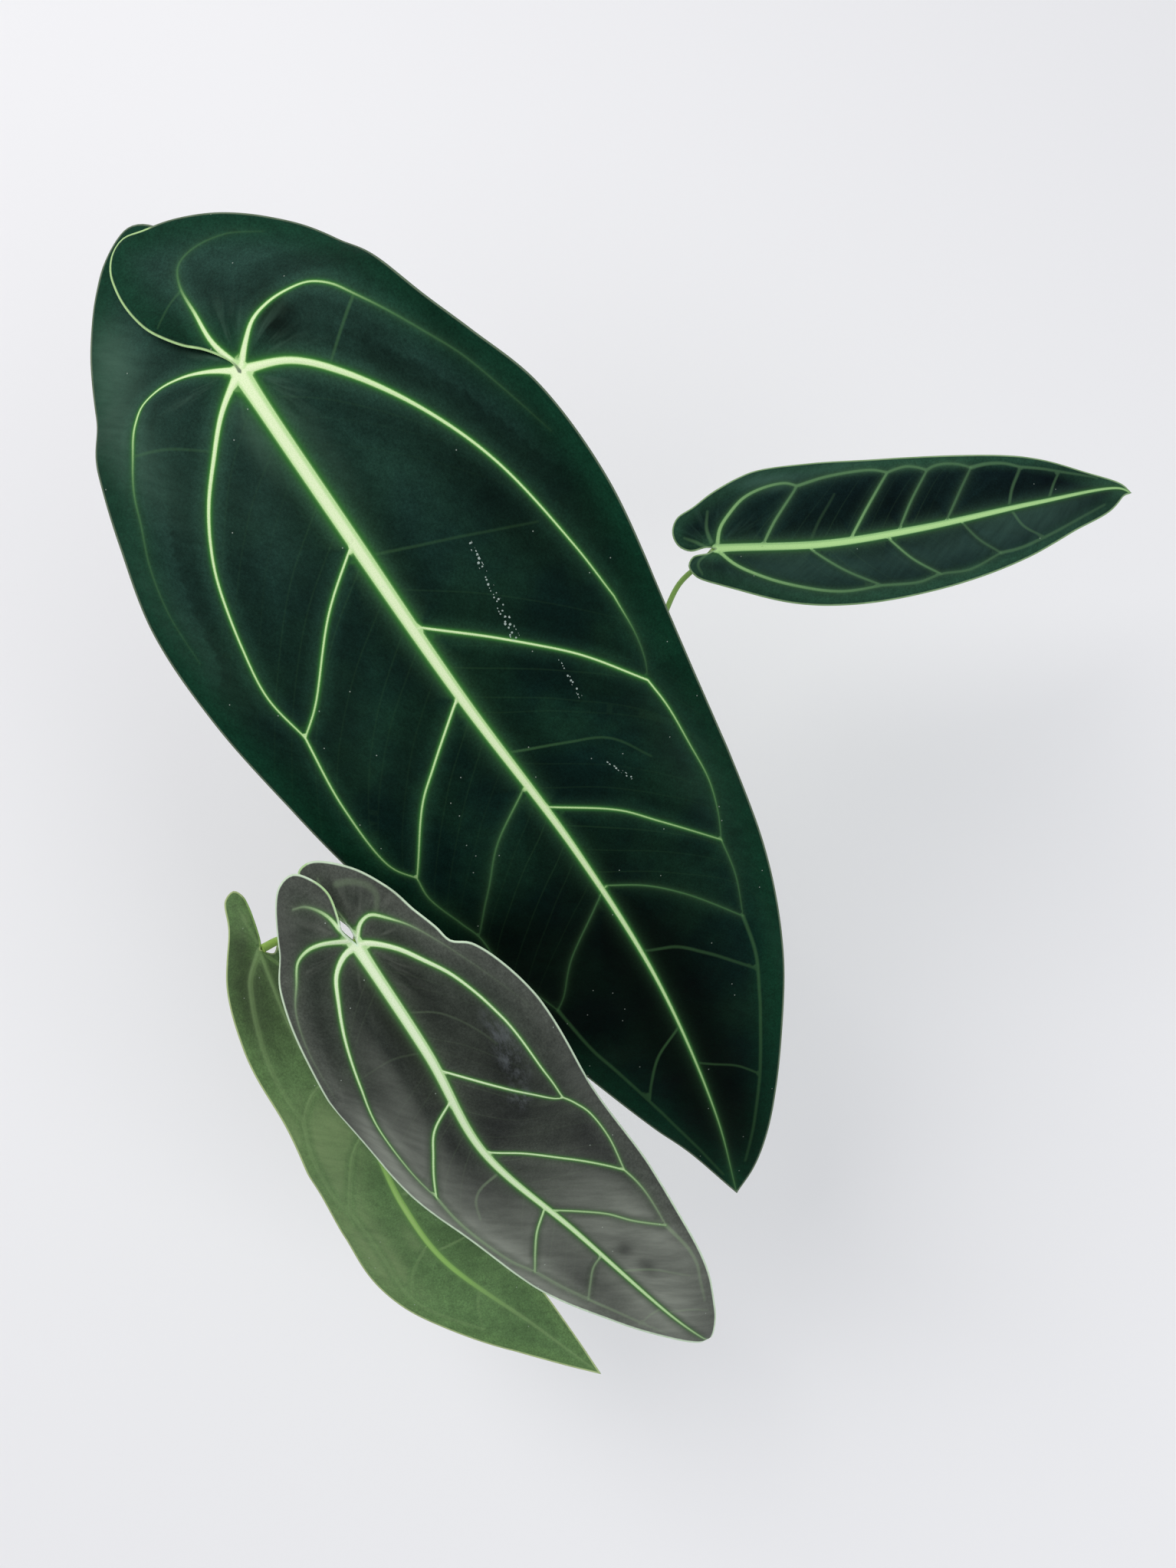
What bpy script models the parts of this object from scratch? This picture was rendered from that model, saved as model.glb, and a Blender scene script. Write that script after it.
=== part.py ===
"""Queen anthurium: four long velvet leaves on one short stem, growing in a plain plastic pot.

The origin is the middle of the pot's underside and +Z is up. Each leaf blade is drawn flat first, in
millimetres along its midrib from the petiole and across it, and is then bent over its own arched spine.
"""

from dataclasses import dataclass
from math import cos, pi, radians, sin

import bmesh
import bpy
import numpy as np
from mathutils import Quaternion, Vector, geometry, noise
from mathutils.bvhtree import BVHTree

MM = 0.001
CLEARANCE = 0.3 * MM

POT_HEIGHT = 120 * MM
POT_FOOT_RADIUS = 44 * MM
POT_RIM_RADIUS = 61 * MM
POT_WALL = 1.6 * MM
POT_LIP_HEIGHT = 11 * MM
POT_LIP_DEPTH = 2.2 * MM
POT_FLOOR = 2 * MM
POT_FOOT_STEP = 2.5 * MM
POT_FOOT_WIDTH = 9 * MM
POT_PAD_RADIUS = 13 * MM
POT_CHAMFER = 0.6 * MM
POT_SIDES = 48
DRAIN_HOLES = 8
DRAIN_RADIUS = 5 * MM
DRAIN_CIRCLE = 24 * MM

MIX_LEVEL = 106 * MM
MIX_CHUNK = 11 * MM
MIX_RELIEF = 5 * MM
MIX_SPACING = 5.2 * MM

STEM_RADIUS = 11.5 * MM
STEM_BOTTOM = 84 * MM
STEM_TOP = 141 * MM
STEM_NODES = 4
SOCKET_DEPTH = 6 * MM
SOCKET_OFFSET = 7 * MM
ROOT_RADIUS = 2.2 * MM
ROOT_SPACING = 5 * MM
ROOT_ANGLES = (15, 95, 165, 255, 320)
ROOT_REACH = (0.4, 1.1, 1.7, 2.1, 2.3)
ROOT_TWIST = 0.12

ROW_HEIGHT = 0.87
MIDRIB_TAPER = 0.75
VEIN_RIB_BASE = 0.45
VEIN_RIB_TIP = 0.25

CURVE_STEP = 2 * MM
PETIOLE_SPACING = 14 * MM
PETIOLE_NECK = (7 * MM, 2.5 * MM)
FOOT_SWELL = 1.35
FOOT_SWELL_LENGTH = 45 * MM
JOINT_SWELL = 1.25
JOINT_SWELL_LENGTH = 16 * MM
SEAT_SEARCH = 9 * MM
SEAT_STEP = 0.03 * MM


@dataclass
class Side:
    """One half of a blade. The angles are degrees of rise at the midrib and of fall at the reference half
    width, at the base, the middle and the tip, and then on the lobe. lift raises the lobe's inner edge where
    the lobes cross."""

    margin: list
    veins: list
    rise: tuple
    fall: tuple
    lobe: tuple
    lift: float = 0


@dataclass
class Leaf:
    """A blade and its petiole. The spine runs from behind the petiole's joint, through it, to the tip. The
    petiole's end points along approach, given as forward along the blade, to its left and up through it."""

    name: str
    spine: list
    roll: tuple
    half_width: float
    left: Side
    right: Side
    sheet: float
    rib: float
    spacing: float
    petiole: list
    petiole_radius: float
    approach: tuple
    socket: tuple


LARGE = Leaf(
    name="large",
    spine=[(-131, 196, 470), (-103, 150, 480), (-64, 93, 460), (-20, 31, 425), (29, -31, 375),
           (71, -94, 315), (106, -168, 250), (122, -218, 205)],
    roll=(-10, -8, -4),
    half_width=100,
    left=Side(
        margin=[(-8, 1), (-18, 0), (-40, -5), (-66, -5), (-90, 0), (-99, 10), (-92, 29), (-72, 45),
                (-44, 58), (-10, 69), (28, 82), (66, 94), (110, 96), (165, 91), (220, 86), (285, 79),
                (345, 68), (395, 53), (440, 36), (475, 20), (502, 8)],
        veins=[[(3, 6), (24, 28), (49, 49), (90, 64), (135, 65)], [(-4, 6), (-14, 22), (-15, 40), (2, 54),
               (28, 69), (62, 82)], [(135, 65), (168, 72), (215, 66), (240, 68), (263, 61), (298, 61),
               (331, 51), (385, 42), (420, 31)], [(78, 0), (97, 25), (126, 53), (135, 65)], [(155, 0),
               (175, 28), (215, 66)], [(207, 0), (223, 27), (263, 61)], [(277, 0), (303, 31), (331, 51)],
               [(378, 0), (390, 16), (420, 31)]],
        rise=(10, 8, 4), fall=(20, 18, 12), lobe=(0, 20), lift=-4),
    right=Side(
        margin=[(-8, -0.5), (-14, 5), (-27, 18), (-42, 24), (-62, 26), (-80, 22), (-86, 12), (-78, -8),
                (-60, -31), (-36, -55), (-14, -68), (10, -77), (27, -82), (36, -86), (66, -99), (112, -104),
                (165, -99), (240, -87), (307, -78), (360, -65), (410, -48), (460, -30), (500, -13)],
        veins=[[(4, -10), (24, -35), (51, -53), (90, -69), (150, -79), (201, -71)], [(-3, -4), (-14, -20),
               (-13, -42), (11, -62), (40, -79), (85, -94)], [(-8, 1), (-29, 3), (-58, 3), (-55, -15),
               (-46, -33)], [(201, -71), (240, -72), (287, -61), (331, -53), (380, -44), (429, -30),
               (456, -21)], [(120, 0), (144, -28), (169, -51), (201, -71)], [(222, 0), (250, -33),
               (287, -61)], [(274, 0), (301, -32), (331, -53)], [(322, 0), (339, -28), (362, -48)],
               [(407, 0), (429, -30)]],
        rise=(10, 8, 4), fall=(20, 18, 12), lobe=(0, 20), lift=6),
    sheet=0.9, rib=4.2, spacing=15,
    petiole=[(-12, 17, 205), (-36, 52, 300), (-70, 101, 398), (-95, 137, 452)],
    petiole_radius=2.6, approach=(0, 0, 1), socket=(124, 1),
)
SIDE = Leaf(
    name="side",
    spine=[(80, 146, 272), (107, 147, 280), (167, 148, 285), (223, 159, 280), (293, 178, 270),
           (351, 195, 250), (361, 194, 245)],
    roll=(-6, -6, 0),
    half_width=45,
    left=Side(
        margin=[(-4, 2), (-13, 3), (-16, 8), (-13, 14), (-5, 19), (13, 25), (44, 33), (87, 37), (143, 35),
                (178, 30), (208, 22), (242, 14)],
        veins=[[(2, 3), (28, 18), (58, 27), (88, 28)], [(88, 28), (110, 31), (123, 28), (141, 29),
               (160, 24), (189, 21)], [(50, 0), (69, 16), (88, 28)], [(96, 0), (123, 28)], [(142, 0),
               (160, 24)], [(174, 0), (189, 21)]],
        rise=(14, 10, 6), fall=(20, 16, 10), lobe=(6, 20)),
    right=Side(
        margin=[(-5, -1), (-14, 0), (-21, -4), (-24, -12), (-21, -20), (-10, -26), (12, -40), (24, -45),
                (60, -48), (106, -44), (152, -37), (202, -25), (237, -10)],
        veins=[[(1, -3), (8, -19), (29, -34), (46, -35)], [(46, -35), (75, -38), (104, -33), (129, -31),
               (157, -27), (186, -21), (212, -17), (234, -9)], [(26, 0), (33, -14), (46, -35)], [(75, 0),
               (104, -33)], [(105, 0), (129, -31)], [(133, 0), (157, -27)], [(173, 0), (186, -21)],
               [(201, 0), (212, -17)]],
        rise=(14, 10, 6), fall=(20, 16, 10), lobe=(6, 20)),
    sheet=0.8, rib=2.8, spacing=11,
    petiole=[(20, 22, 165), (52, 70, 212), (77, 112, 244), (88, 133, 260), (101, 143, 270)],
    petiole_radius=1.6, approach=(0.3, 0, 0.95), socket=(48, 1),
)
UPPER = Leaf(
    name="upper",
    spine=[(-88, -38, 410), (-64, -75, 410), (-35, -123, 390), (-13, -169, 360), (29, -211, 330),
           (76, -257, 303), (93, -273, 285), (99, -281, 262)],
    roll=(-6, -6, -4),
    half_width=55,
    left=Side(
        margin=[(-8, 1), (-14, 0), (-24, -3), (-33, 0), (-40, 6), (-39, 14), (-23, 28), (5, 41), (35, 48),
                (72, 51), (105, 43), (140, 35), (193, 33), (235, 20), (272, 9), (296, 3)],
        veins=[[(1, 3), (12, 16), (37, 29), (82, 38), (123, 30)], [(-3, 2), (-9, 15), (-2, 29), (11, 38)],
               [(123, 30), (157, 31), (184, 27), (215, 20), (235, 14)], [(-6, 2), (-19, 5), (-27, 14)],
               [(85, 0), (96, 13), (123, 30)], [(136, 0), (139, 21)], [(164, 0), (171, 15), (184, 27)],
               [(206, 0), (215, 19)]],
        rise=(18, 14, 8), fall=(24, 24, 16), lobe=(0, 24), lift=6.5),
    right=Side(
        margin=[(-8, -1.5), (-14, -0.5), (-22, 4), (-33, 7), (-41, 6), (-42, -1), (-30, -15), (-8, -27),
                (10, -34), (18, -36), (24, -43), (45, -52), (81, -59), (125, -59), (170, -52), (213, -42),
                (249, -30), (278, -15), (298, -4)],
        veins=[[(2, -5), (22, -23), (57, -36), (97, -46), (117, -45)], [(-3, -3), (-7, -11), (3, -24),
               (15, -31)], [(117, -45), (150, -44), (179, -37), (216, -31), (249, -25), (262, -18)],
               [(70, 0), (86, -22), (117, -45)], [(121, 0), (153, -25), (179, -37)], [(168, 0), (186, -14),
               (216, -31)]],
        rise=(18, 14, 8), fall=(24, 24, 16), lobe=(0, 24), lift=-1.5),
    sheet=0.8, rib=3.2, spacing=12,
    petiole=[(-8, -9, 195), (-34, -38, 265), (-62, -70, 325), (-71, -82, 372), (-68, -80, 396)],
    petiole_radius=2.1, approach=(0.2, 0, 0.98), socket=(230, 0),
)
LOWER = Leaf(
    name="lower",
    spine=[(-160, -40, 262), (-144, -77, 270), (-120, -129, 270), (-84, -179, 260), (-69, -218, 235),
           (-48, -256, 205), (4, -301, 175), (43, -333, 160)],
    roll=(6, 4, 0),
    half_width=48,
    left=Side(
        margin=[(-4, -2), (-12, -6), (-24, -7), (-34, -4), (-38, 3), (-32, 11), (-17, 14), (13, 24),
                (45, 28), (80, 30), (122, 38), (170, 37), (209, 38), (250, 30), (285, 22), (325, 9)],
        veins=[[(2, 2), (17, 11), (64, 19), (90, 21)], [(90, 21), (110, 29), (160, 28), (196, 26),
               (226, 28), (270, 18)], [(78, 0), (90, 21)], [(115, 0), (123, 11), (160, 28)], [(160, 0),
               (196, 26)], [(200, 0), (226, 28)], [(252, 0), (270, 18)]],
        rise=(4, 6, 4), fall=(24, 20, 14), lobe=(0, 30)),
    right=Side(
        margin=[(1, -4), (0, -10), (-9, -15), (-20, -19), (-24, -25), (-10, -30), (10, -34), (45, -38),
                (90, -42), (150, -42), (205, -37), (250, -29), (283, -20), (325, -8)],
        veins=[[(2, -3), (20, -18), (55, -28), (98, -30)], [(98, -30), (140, -33), (180, -29), (225, -26),
               (262, -17)], [(74, 0), (98, -30)], [(124, 0), (140, -32)], [(162, 0), (180, -29)], [(212, 0),
               (225, -26)]],
        rise=(-60, -8, 2), fall=(75, 36, 16), lobe=(-66, 80)),
    sheet=0.8, rib=3, spacing=12,
    petiole=[(-38, -19, 186), (-84, -44, 239), (-122, -65, 260)],
    petiole_radius=1.9, approach=(0.2, 0.86, 0.47), socket=(205, 1),
)
LEAVES = (LARGE, SIDE, UPPER, LOWER)


def smoothstep(x):
    x = np.clip(x, 0, 1)
    return x * x * (3 - 2 * x)


def spline(points, spacing):
    """A centripetal Catmull-Rom curve through the points, cut into lengths near the spacing."""
    p = np.asarray(points, float)
    p = np.vstack([2 * p[0] - p[1], p, 2 * p[-1] - p[-2]])
    found = [p[1]]
    for a, b, c, d in zip(p, p[1:], p[2:], p[3:]):
        t0 = 0
        t1 = t0 + np.linalg.norm(b - a) ** 0.5
        t2 = t1 + np.linalg.norm(c - b) ** 0.5
        t3 = t2 + np.linalg.norm(d - c) ** 0.5
        pieces = max(1, round(np.linalg.norm(c - b) / spacing))
        for t in np.linspace(t1, t2, pieces + 1)[1:]:
            ab = ((t1 - t) * a + (t - t0) * b) / (t1 - t0)
            bc = ((t2 - t) * b + (t - t1) * c) / (t2 - t1)
            cd = ((t3 - t) * c + (t - t2) * d) / (t3 - t2)
            abc = ((t2 - t) * ab + (t - t0) * bc) / (t2 - t0)
            bcd = ((t3 - t) * bc + (t - t1) * cd) / (t3 - t1)
            found.append(((t2 - t) * abc + (t - t1) * bcd) / (t2 - t1))
    return np.array(found)


class BentSheet:
    """The surface that a leaf's flat drawing is bent over. All its sizes are in millimetres."""

    def __init__(self, leaf):
        self.leaf = leaf
        self.curve = spline(leaf.spine, CURVE_STEP / MM)
        steps = np.linalg.norm(np.diff(self.curve, axis=0), axis=1)
        joint = np.argmin(np.linalg.norm(self.curve - leaf.spine[1], axis=1))
        self.along = np.concatenate([[0], np.cumsum(steps)])
        self.along -= self.along[joint]
        self.length = self.along[-1]
        self.forward = np.gradient(self.curve, self.along, axis=0)
        self.forward /= np.linalg.norm(self.forward, axis=1)[:, None]
        level = np.cross(self.forward, (0, 0, 1))
        level /= np.linalg.norm(level, axis=1)[:, None]
        upright = np.cross(level, self.forward)
        roll = np.radians(self.blend(leaf.roll, self.along))[:, None]
        self.across = level * np.cos(roll) + upright * np.sin(roll)
        self.up = upright * np.cos(roll) - level * np.sin(roll)

    def blend(self, values, along):
        """Values given at the base, the middle and the tip."""
        return np.interp(along / self.length, (0, 0.5, 1), values)

    def read(self, table, along):
        return np.array([np.interp(along, self.along, column) for column in table.T])

    def point(self, along, across, side):
        """The place of a flat point. Side is 1 on the left half and -1 on the right one."""
        half = self.leaf.left if side > 0 else self.leaf.right
        width = self.leaf.half_width
        on_lobe = smoothstep(-along / (0.3 * width))
        rise = radians(self.blend(half.rise, along) * (1 - on_lobe) + half.lobe[0] * on_lobe)
        fall = radians(self.blend(half.fall, along) * (1 - on_lobe) + half.lobe[1] * on_lobe)
        bend = (rise + fall) / width
        out = across * side
        if out > 0:
            reach = (sin(rise) - sin(rise - bend * out)) / bend
            height = (cos(rise - bend * out) - cos(rise)) / bend
        else:
            reach = out * cos(rise)
            height = out * sin(rise)
        crossing = smoothstep(-along / (0.2 * width)) * (1 - smoothstep((out / width - 0.25) / 0.4))
        past_end = min(along - self.along[0], 0)
        return (self.read(self.curve, along) + self.read(self.forward, along) * past_end
                + self.read(self.across, along) * side * reach
                + self.read(self.up, along) * (height + half.lift * crossing))


def inside(point, loop):
    """Whether a flat point lies inside a closed loop of flat points."""
    x, y = point
    a, b = loop, np.roll(loop, -1, axis=0)
    spans = (a[:, 1] > y) != (b[:, 1] > y)
    crossing = a[spans, 0] + (y - a[spans, 1]) / (b[spans, 1] - a[spans, 1]) * (b[spans, 0] - a[spans, 0])
    return np.count_nonzero(crossing > x) % 2 == 1


def flat_half(leaf, side, length):
    """One half of a blade, flat: its points, how much of a rib each one carries, and its triangles."""
    half = leaf.left if side > 0 else leaf.right
    spacing = leaf.spacing
    stations = np.linspace(0, length, round(length / spacing) + 1)
    margin = spline([(0, 0), *half.margin, (length, 0)], spacing)
    loop = np.vstack([np.column_stack([stations, 0 * stations]), margin[-2:0:-1]])
    points = [tuple(p) for p in loop]
    ribs = [1 - MIDRIB_TAPER * (s / length) for s in stations] + [0.0] * (len(margin) - 2)
    edges = [(i, (i + 1) % len(loop)) for i in range(len(loop))]
    # A vein point that comes close to another point takes that one, so that no sliver is left between them.
    for vein in half.veins:
        path = []
        for x, y in spline(vein, spacing):
            near = np.linalg.norm(np.array(points) - (x, y), axis=1)
            if x > 0 and abs(y) < 0.3 * spacing:
                path.append(int(near[:len(stations)].argmin()))
            elif near.min() < 0.42 * spacing:
                path.append(int(near.argmin()))
            else:
                points.append((x, y))
                ribs.append(0.0)
                path.append(len(points) - 1)
            if path[-1] >= len(loop):
                rib = VEIN_RIB_BASE + (VEIN_RIB_TIP - VEIN_RIB_BASE) * x / length
                ribs[path[-1]] = max(ribs[path[-1]], rib)
        edges += [(a, b) for a, b in zip(path, path[1:]) if a != b]
    low, high = loop.min(axis=0), loop.max(axis=0)
    rows = np.arange(low[1], high[1], spacing * ROW_HEIGHT)
    for row, y in enumerate(rows):
        for x in np.arange(low[0] + (row % 2) * spacing / 2, high[0], spacing):
            near = np.linalg.norm(np.array(points) - (x, y), axis=1)
            if inside((x, y), loop) and near.min() > 0.62 * spacing:
                points.append((x, y))
                ribs.append(0.0)
    flat = [Vector(p) for p in points]
    made, _, faces, origins, _, _ = geometry.delaunay_2d_cdt(flat, edges, [], 1, 1e-3)
    carried = [max((ribs[i] for i in origin), default=0.2) for origin in origins]
    return made, carried, faces


def make_blade(leaf, sheet):
    """The bent blade as one closed sheet, thicker along its ribs."""
    mesh = bmesh.new()
    weights = mesh.verts.layers.deform.verify()
    shared = {}
    for side in (1, -1):
        points, ribs, faces = flat_half(leaf, side, sheet.length)
        corners = []
        for (x, y), rib in zip(points, ribs):
            key = round(x, 2) if abs(y) < 1e-3 and x > -1e-3 else None
            if key in shared:
                corners.append(shared[key])
                continue
            corner = mesh.verts.new(Vector(sheet.point(x, y, side)) * MM)
            corner[weights][0] = rib
            corners.append(corner)
            if key is not None:
                shared[key] = corner
        for face in faces:
            mesh.faces.new([corners[i] for i in face])
    bmesh.ops.recalc_face_normals(mesh, faces=mesh.faces)
    # The drawn surface is the upper one, so the normals point up beside the midrib.
    along = 0.2 * sheet.length
    beside = Vector(sheet.point(along, 5, 1)) * MM
    nearest = min(mesh.faces, key=lambda face: (face.calc_center_median() - beside).length)
    if nearest.normal.dot(Vector(sheet.read(sheet.up, along))) < 0:
        bmesh.ops.reverse_faces(mesh, faces=mesh.faces)
    data = bpy.data.meshes.new(f"blade_{leaf.name}")
    mesh.to_mesh(data)
    mesh.free()
    data.shade_smooth()
    blade = bpy.data.objects.new(f"blade_{leaf.name}", data)
    blade.vertex_groups.new(name="ribs")
    thicken = blade.modifiers.new("thickness", "SOLIDIFY")
    thicken.thickness = leaf.rib * MM
    thicken.offset = -0.7
    thicken.vertex_group = "ribs"
    thicken.thickness_vertex_group = leaf.sheet / leaf.rib
    return blade


def petiole_seat(leaf, blade, sheet):
    """Where the petiole's end stops just short of the blade on its way in, and that way."""
    joint = sheet.read(sheet.curve, 0) * MM
    axes = [sheet.read(table, 0) for table in (sheet.forward, sheet.across, sheet.up)]
    inward = Vector(sum(part * axis for part, axis in zip(leaf.approach, axes))).normalized()
    aside = inward.orthogonal().normalized() * leaf.petiole_radius * JOINT_SWELL * MM
    surface = BVHTree.FromObject(blade, bpy.context.evaluated_depsgraph_get())
    end = Vector(joint) - inward * SEAT_SEARCH
    while True:
        around = [Quaternion(inward, 2 * pi * i / 12) @ aside for i in range(12)]
        outline = [end, *(end + edge for edge in around), *(end + edge - inward * 2 * MM for edge in around)]
        if min(surface.find_nearest(place)[3] for place in outline) < CLEARANCE:
            return np.array(end), np.array(inward)
        end += inward * SEAT_STEP


def make_petiole(leaf, blade, sheet):
    """A tapering round stalk from its socket in the stem to the underside of the blade."""
    angle, outward = radians(leaf.socket[0]), leaf.socket[1]
    foot = np.array([cos(angle), sin(angle), 0]) * SOCKET_OFFSET * outward
    foot[2] = STEM_TOP - SOCKET_DEPTH + CLEARANCE
    seat, inward = petiole_seat(leaf, blade, sheet)
    start = [foot, foot + (0, 0, SOCKET_DEPTH), foot + (0, 0, 2.2 * SOCKET_DEPTH)]
    end = [*(seat - inward * length for length in PETIOLE_NECK), seat]
    route = spline([*start, *(np.array(leaf.petiole) * MM), *end], PETIOLE_SPACING)
    curve = bpy.data.curves.new(f"petiole_{leaf.name}", "CURVE")
    curve.dimensions = "3D"
    curve.bevel_depth = leaf.petiole_radius * MM
    curve.bevel_resolution = 2
    curve.use_fill_caps = True
    line = curve.splines.new("POLY")
    line.points.add(len(route) - 1)
    reach = np.concatenate([[0], np.cumsum(np.linalg.norm(np.diff(route, axis=0), axis=1))])
    for point, place, run in zip(line.points, route, reach):
        point.co = (*place, 1)
        at_foot = 1 - smoothstep(run / FOOT_SWELL_LENGTH)
        at_joint = 1 - smoothstep((reach[-1] - run) / JOINT_SWELL_LENGTH)
        point.radius = 1 + (FOOT_SWELL - 1) * at_foot + (JOINT_SWELL - 1) * at_joint
    return bpy.data.objects.new(f"petiole_{leaf.name}", curve)


def turned(name, profile, sides):
    """A closed solid of revolution from an outline of (radius, height) that starts and ends on the axis."""
    data = bpy.data.meshes.new(name)
    points = [(radius, 0, height) for radius, height in profile]
    data.from_pydata(points, [(i, i + 1) for i in range(len(points) - 1)], [])
    thing = bpy.data.objects.new(name, data)
    screw = thing.modifiers.new("turn", "SCREW")
    screw.steps = screw.render_steps = sides
    screw.use_merge_vertices = True
    screw.merge_threshold = 0.01 * MM
    screw.use_smooth_shade = True
    return thing


def wall_radius(height):
    """The outer radius of the pot's wall at a height."""
    return POT_FOOT_RADIUS + (POT_RIM_RADIUS - POT_LIP_DEPTH - POT_FOOT_RADIUS) * height / POT_HEIGHT


def make_pot(collection, helpers):
    """A thin tapered pot with a thick rim band, a foot ring, a middle pad and holes in the raised floor."""
    floor = POT_FOOT_STEP + POT_FLOOR
    lip_base = POT_HEIGHT - POT_LIP_HEIGHT
    ring = POT_FOOT_RADIUS - POT_FOOT_WIDTH
    profile = [
        (0, 0), (POT_PAD_RADIUS, 0), (POT_PAD_RADIUS + POT_CHAMFER, POT_FOOT_STEP),
        (ring - POT_CHAMFER, POT_FOOT_STEP), (ring, 0),
        (POT_FOOT_RADIUS - POT_CHAMFER, 0), (wall_radius(3 * MM), 3 * MM),
        (wall_radius(lip_base), lip_base), (POT_RIM_RADIUS - POT_CHAMFER, lip_base - POT_CHAMFER / 2),
        (POT_RIM_RADIUS, POT_HEIGHT - 2 * POT_CHAMFER), (POT_RIM_RADIUS - POT_CHAMFER, POT_HEIGHT),
        (wall_radius(POT_HEIGHT) - POT_WALL + POT_CHAMFER, POT_HEIGHT),
        (wall_radius(POT_HEIGHT) - POT_WALL, POT_HEIGHT - POT_CHAMFER),
        (wall_radius(floor) - POT_WALL, floor), (0, floor),
    ]
    pot = turned("pot", profile, POT_SIDES)
    collection.objects.link(pot)
    for turn in range(DRAIN_HOLES):
        angle = 2 * pi * (turn + 0.5) / DRAIN_HOLES
        bpy.ops.mesh.primitive_cylinder_add(vertices=12, radius=DRAIN_RADIUS, depth=4 * floor)
        drill = bpy.context.object
        drill.name = f"drain_drill_{turn}"
        drill.location = (DRAIN_CIRCLE * cos(angle), DRAIN_CIRCLE * sin(angle), floor / 2)
        take_into(helpers, drill)
        cut(pot, drill)
    return pot


def take_into(collection, thing):
    for other in list(thing.users_collection):
        other.objects.unlink(thing)
    collection.objects.link(thing)
    if collection.name == "cutters":
        thing.hide_render = True
        thing.display_type = "WIRE"


def cut(thing, cutter):
    modifier = thing.modifiers.new(cutter.name, "BOOLEAN")
    modifier.operation = "DIFFERENCE"
    modifier.object = cutter


def stem_solid(name, grow, collection):
    """The short ringed stem and the roots that arch from it into the mix. Grow widens it all round."""
    profile = [(0, STEM_TOP + grow)]
    for node in range(STEM_NODES + 1):
        height = STEM_TOP - (STEM_TOP - STEM_BOTTOM) * node / (STEM_NODES + 0.5)
        swell = STEM_RADIUS * (1 + 0.06 * node) + grow
        if node == 0:
            profile += [(0.72 * STEM_RADIUS + grow, height + grow)]
            profile += [(0.98 * STEM_RADIUS + grow, height - 3 * MM)]
        else:
            profile += [(0.9 * swell, height + 3 * MM), (swell, height), (0.93 * swell, height - 1.6 * MM)]
    profile += [(0.85 * STEM_RADIUS + grow, STEM_BOTTOM - grow), (0, STEM_BOTTOM - grow)]
    stem = turned(name, profile, 24)
    collection.objects.link(stem)
    bpy.context.view_layer.update()
    for root, degrees in enumerate(ROOT_ANGLES):
        reach = STEM_RADIUS * np.array(ROOT_REACH)
        angle = radians(degrees) + ROOT_TWIST * np.arange(len(reach)) * (1 if root % 2 else -1)
        high = STEM_TOP - (20 + 3 * (root % 3)) * MM
        heights = (high, high + MM, high - 5 * MM, MIX_LEVEL - 2 * MM, MIX_LEVEL - 12 * MM - grow)
        route = spline(np.column_stack([reach * np.cos(angle), reach * np.sin(angle), heights]), ROOT_SPACING)
        curve = bpy.data.curves.new("root", "CURVE")
        curve.dimensions = "3D"
        curve.bevel_depth = ROOT_RADIUS + grow
        curve.bevel_resolution = 2
        curve.use_fill_caps = True
        line = curve.splines.new("POLY")
        line.points.add(len(route) - 1)
        for point, place in zip(line.points, route):
            point.co = (*place, 1)
        shoot = solid_from_curve(bpy.data.objects.new("root", curve), f"{name}_root_{root}")
        collection.objects.link(shoot)
        join = stem.modifiers.new(f"root_{root}", "BOOLEAN")
        join.operation = "UNION"
        join.object = shoot
    baked = bpy.data.meshes.new_from_object(stem.evaluated_get(bpy.context.evaluated_depsgraph_get()))
    stem.modifiers.clear()
    stem.data = baked
    stem.data.name = name
    for other in list(collection.objects):
        if other.name.startswith(f"{name}_root_"):
            bpy.data.objects.remove(other)
    return stem


def solid_from_curve(curve_object, name):
    """The curve's tube as a mesh object with its caps welded on."""
    bpy.context.scene.collection.objects.link(curve_object)
    bpy.context.view_layer.update()
    data = bpy.data.meshes.new_from_object(curve_object.evaluated_get(bpy.context.evaluated_depsgraph_get()))
    mesh = bmesh.new()
    mesh.from_mesh(data)
    bmesh.ops.remove_doubles(mesh, verts=mesh.verts, dist=0.01 * MM)
    mesh.to_mesh(data)
    mesh.free()
    solid = bpy.data.objects.new(name, data)
    bpy.data.objects.remove(curve_object)
    return solid


def make_stem(collection, helpers):
    stem = stem_solid("stem", 0, collection)
    for leaf in LEAVES:
        angle, outward = radians(leaf.socket[0]), leaf.socket[1]
        radius = FOOT_SWELL * leaf.petiole_radius * MM + CLEARANCE
        bpy.ops.mesh.primitive_cylinder_add(vertices=12, radius=radius, depth=4 * SOCKET_DEPTH)
        drill = bpy.context.object
        drill.name = f"socket_drill_{leaf.name}"
        place = SOCKET_OFFSET * outward
        drill.location = (place * cos(angle), place * sin(angle), STEM_TOP + SOCKET_DEPTH)
        take_into(helpers, drill)
        cut(stem, drill)
    return stem


def mix_height(x, y):
    """The chunky surface of bark and perlite: cells of random height with dips where they meet."""
    place = Vector((x, y, 0)) / MIX_CHUNK
    distances, cells = noise.voronoi(place)
    chunk = noise.noise(cells[0] * 7.3)
    seam = 1 - smoothstep((distances[1] - distances[0]) / 0.35)
    edge = smoothstep((Vector((x, y)).length - 0.75 * wall_radius(MIX_LEVEL)) / (0.2 * POT_RIM_RADIUS))
    return MIX_LEVEL + MIX_RELIEF * (0.9 * chunk - 0.35 * seam) * (1 - 0.6 * edge)


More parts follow.
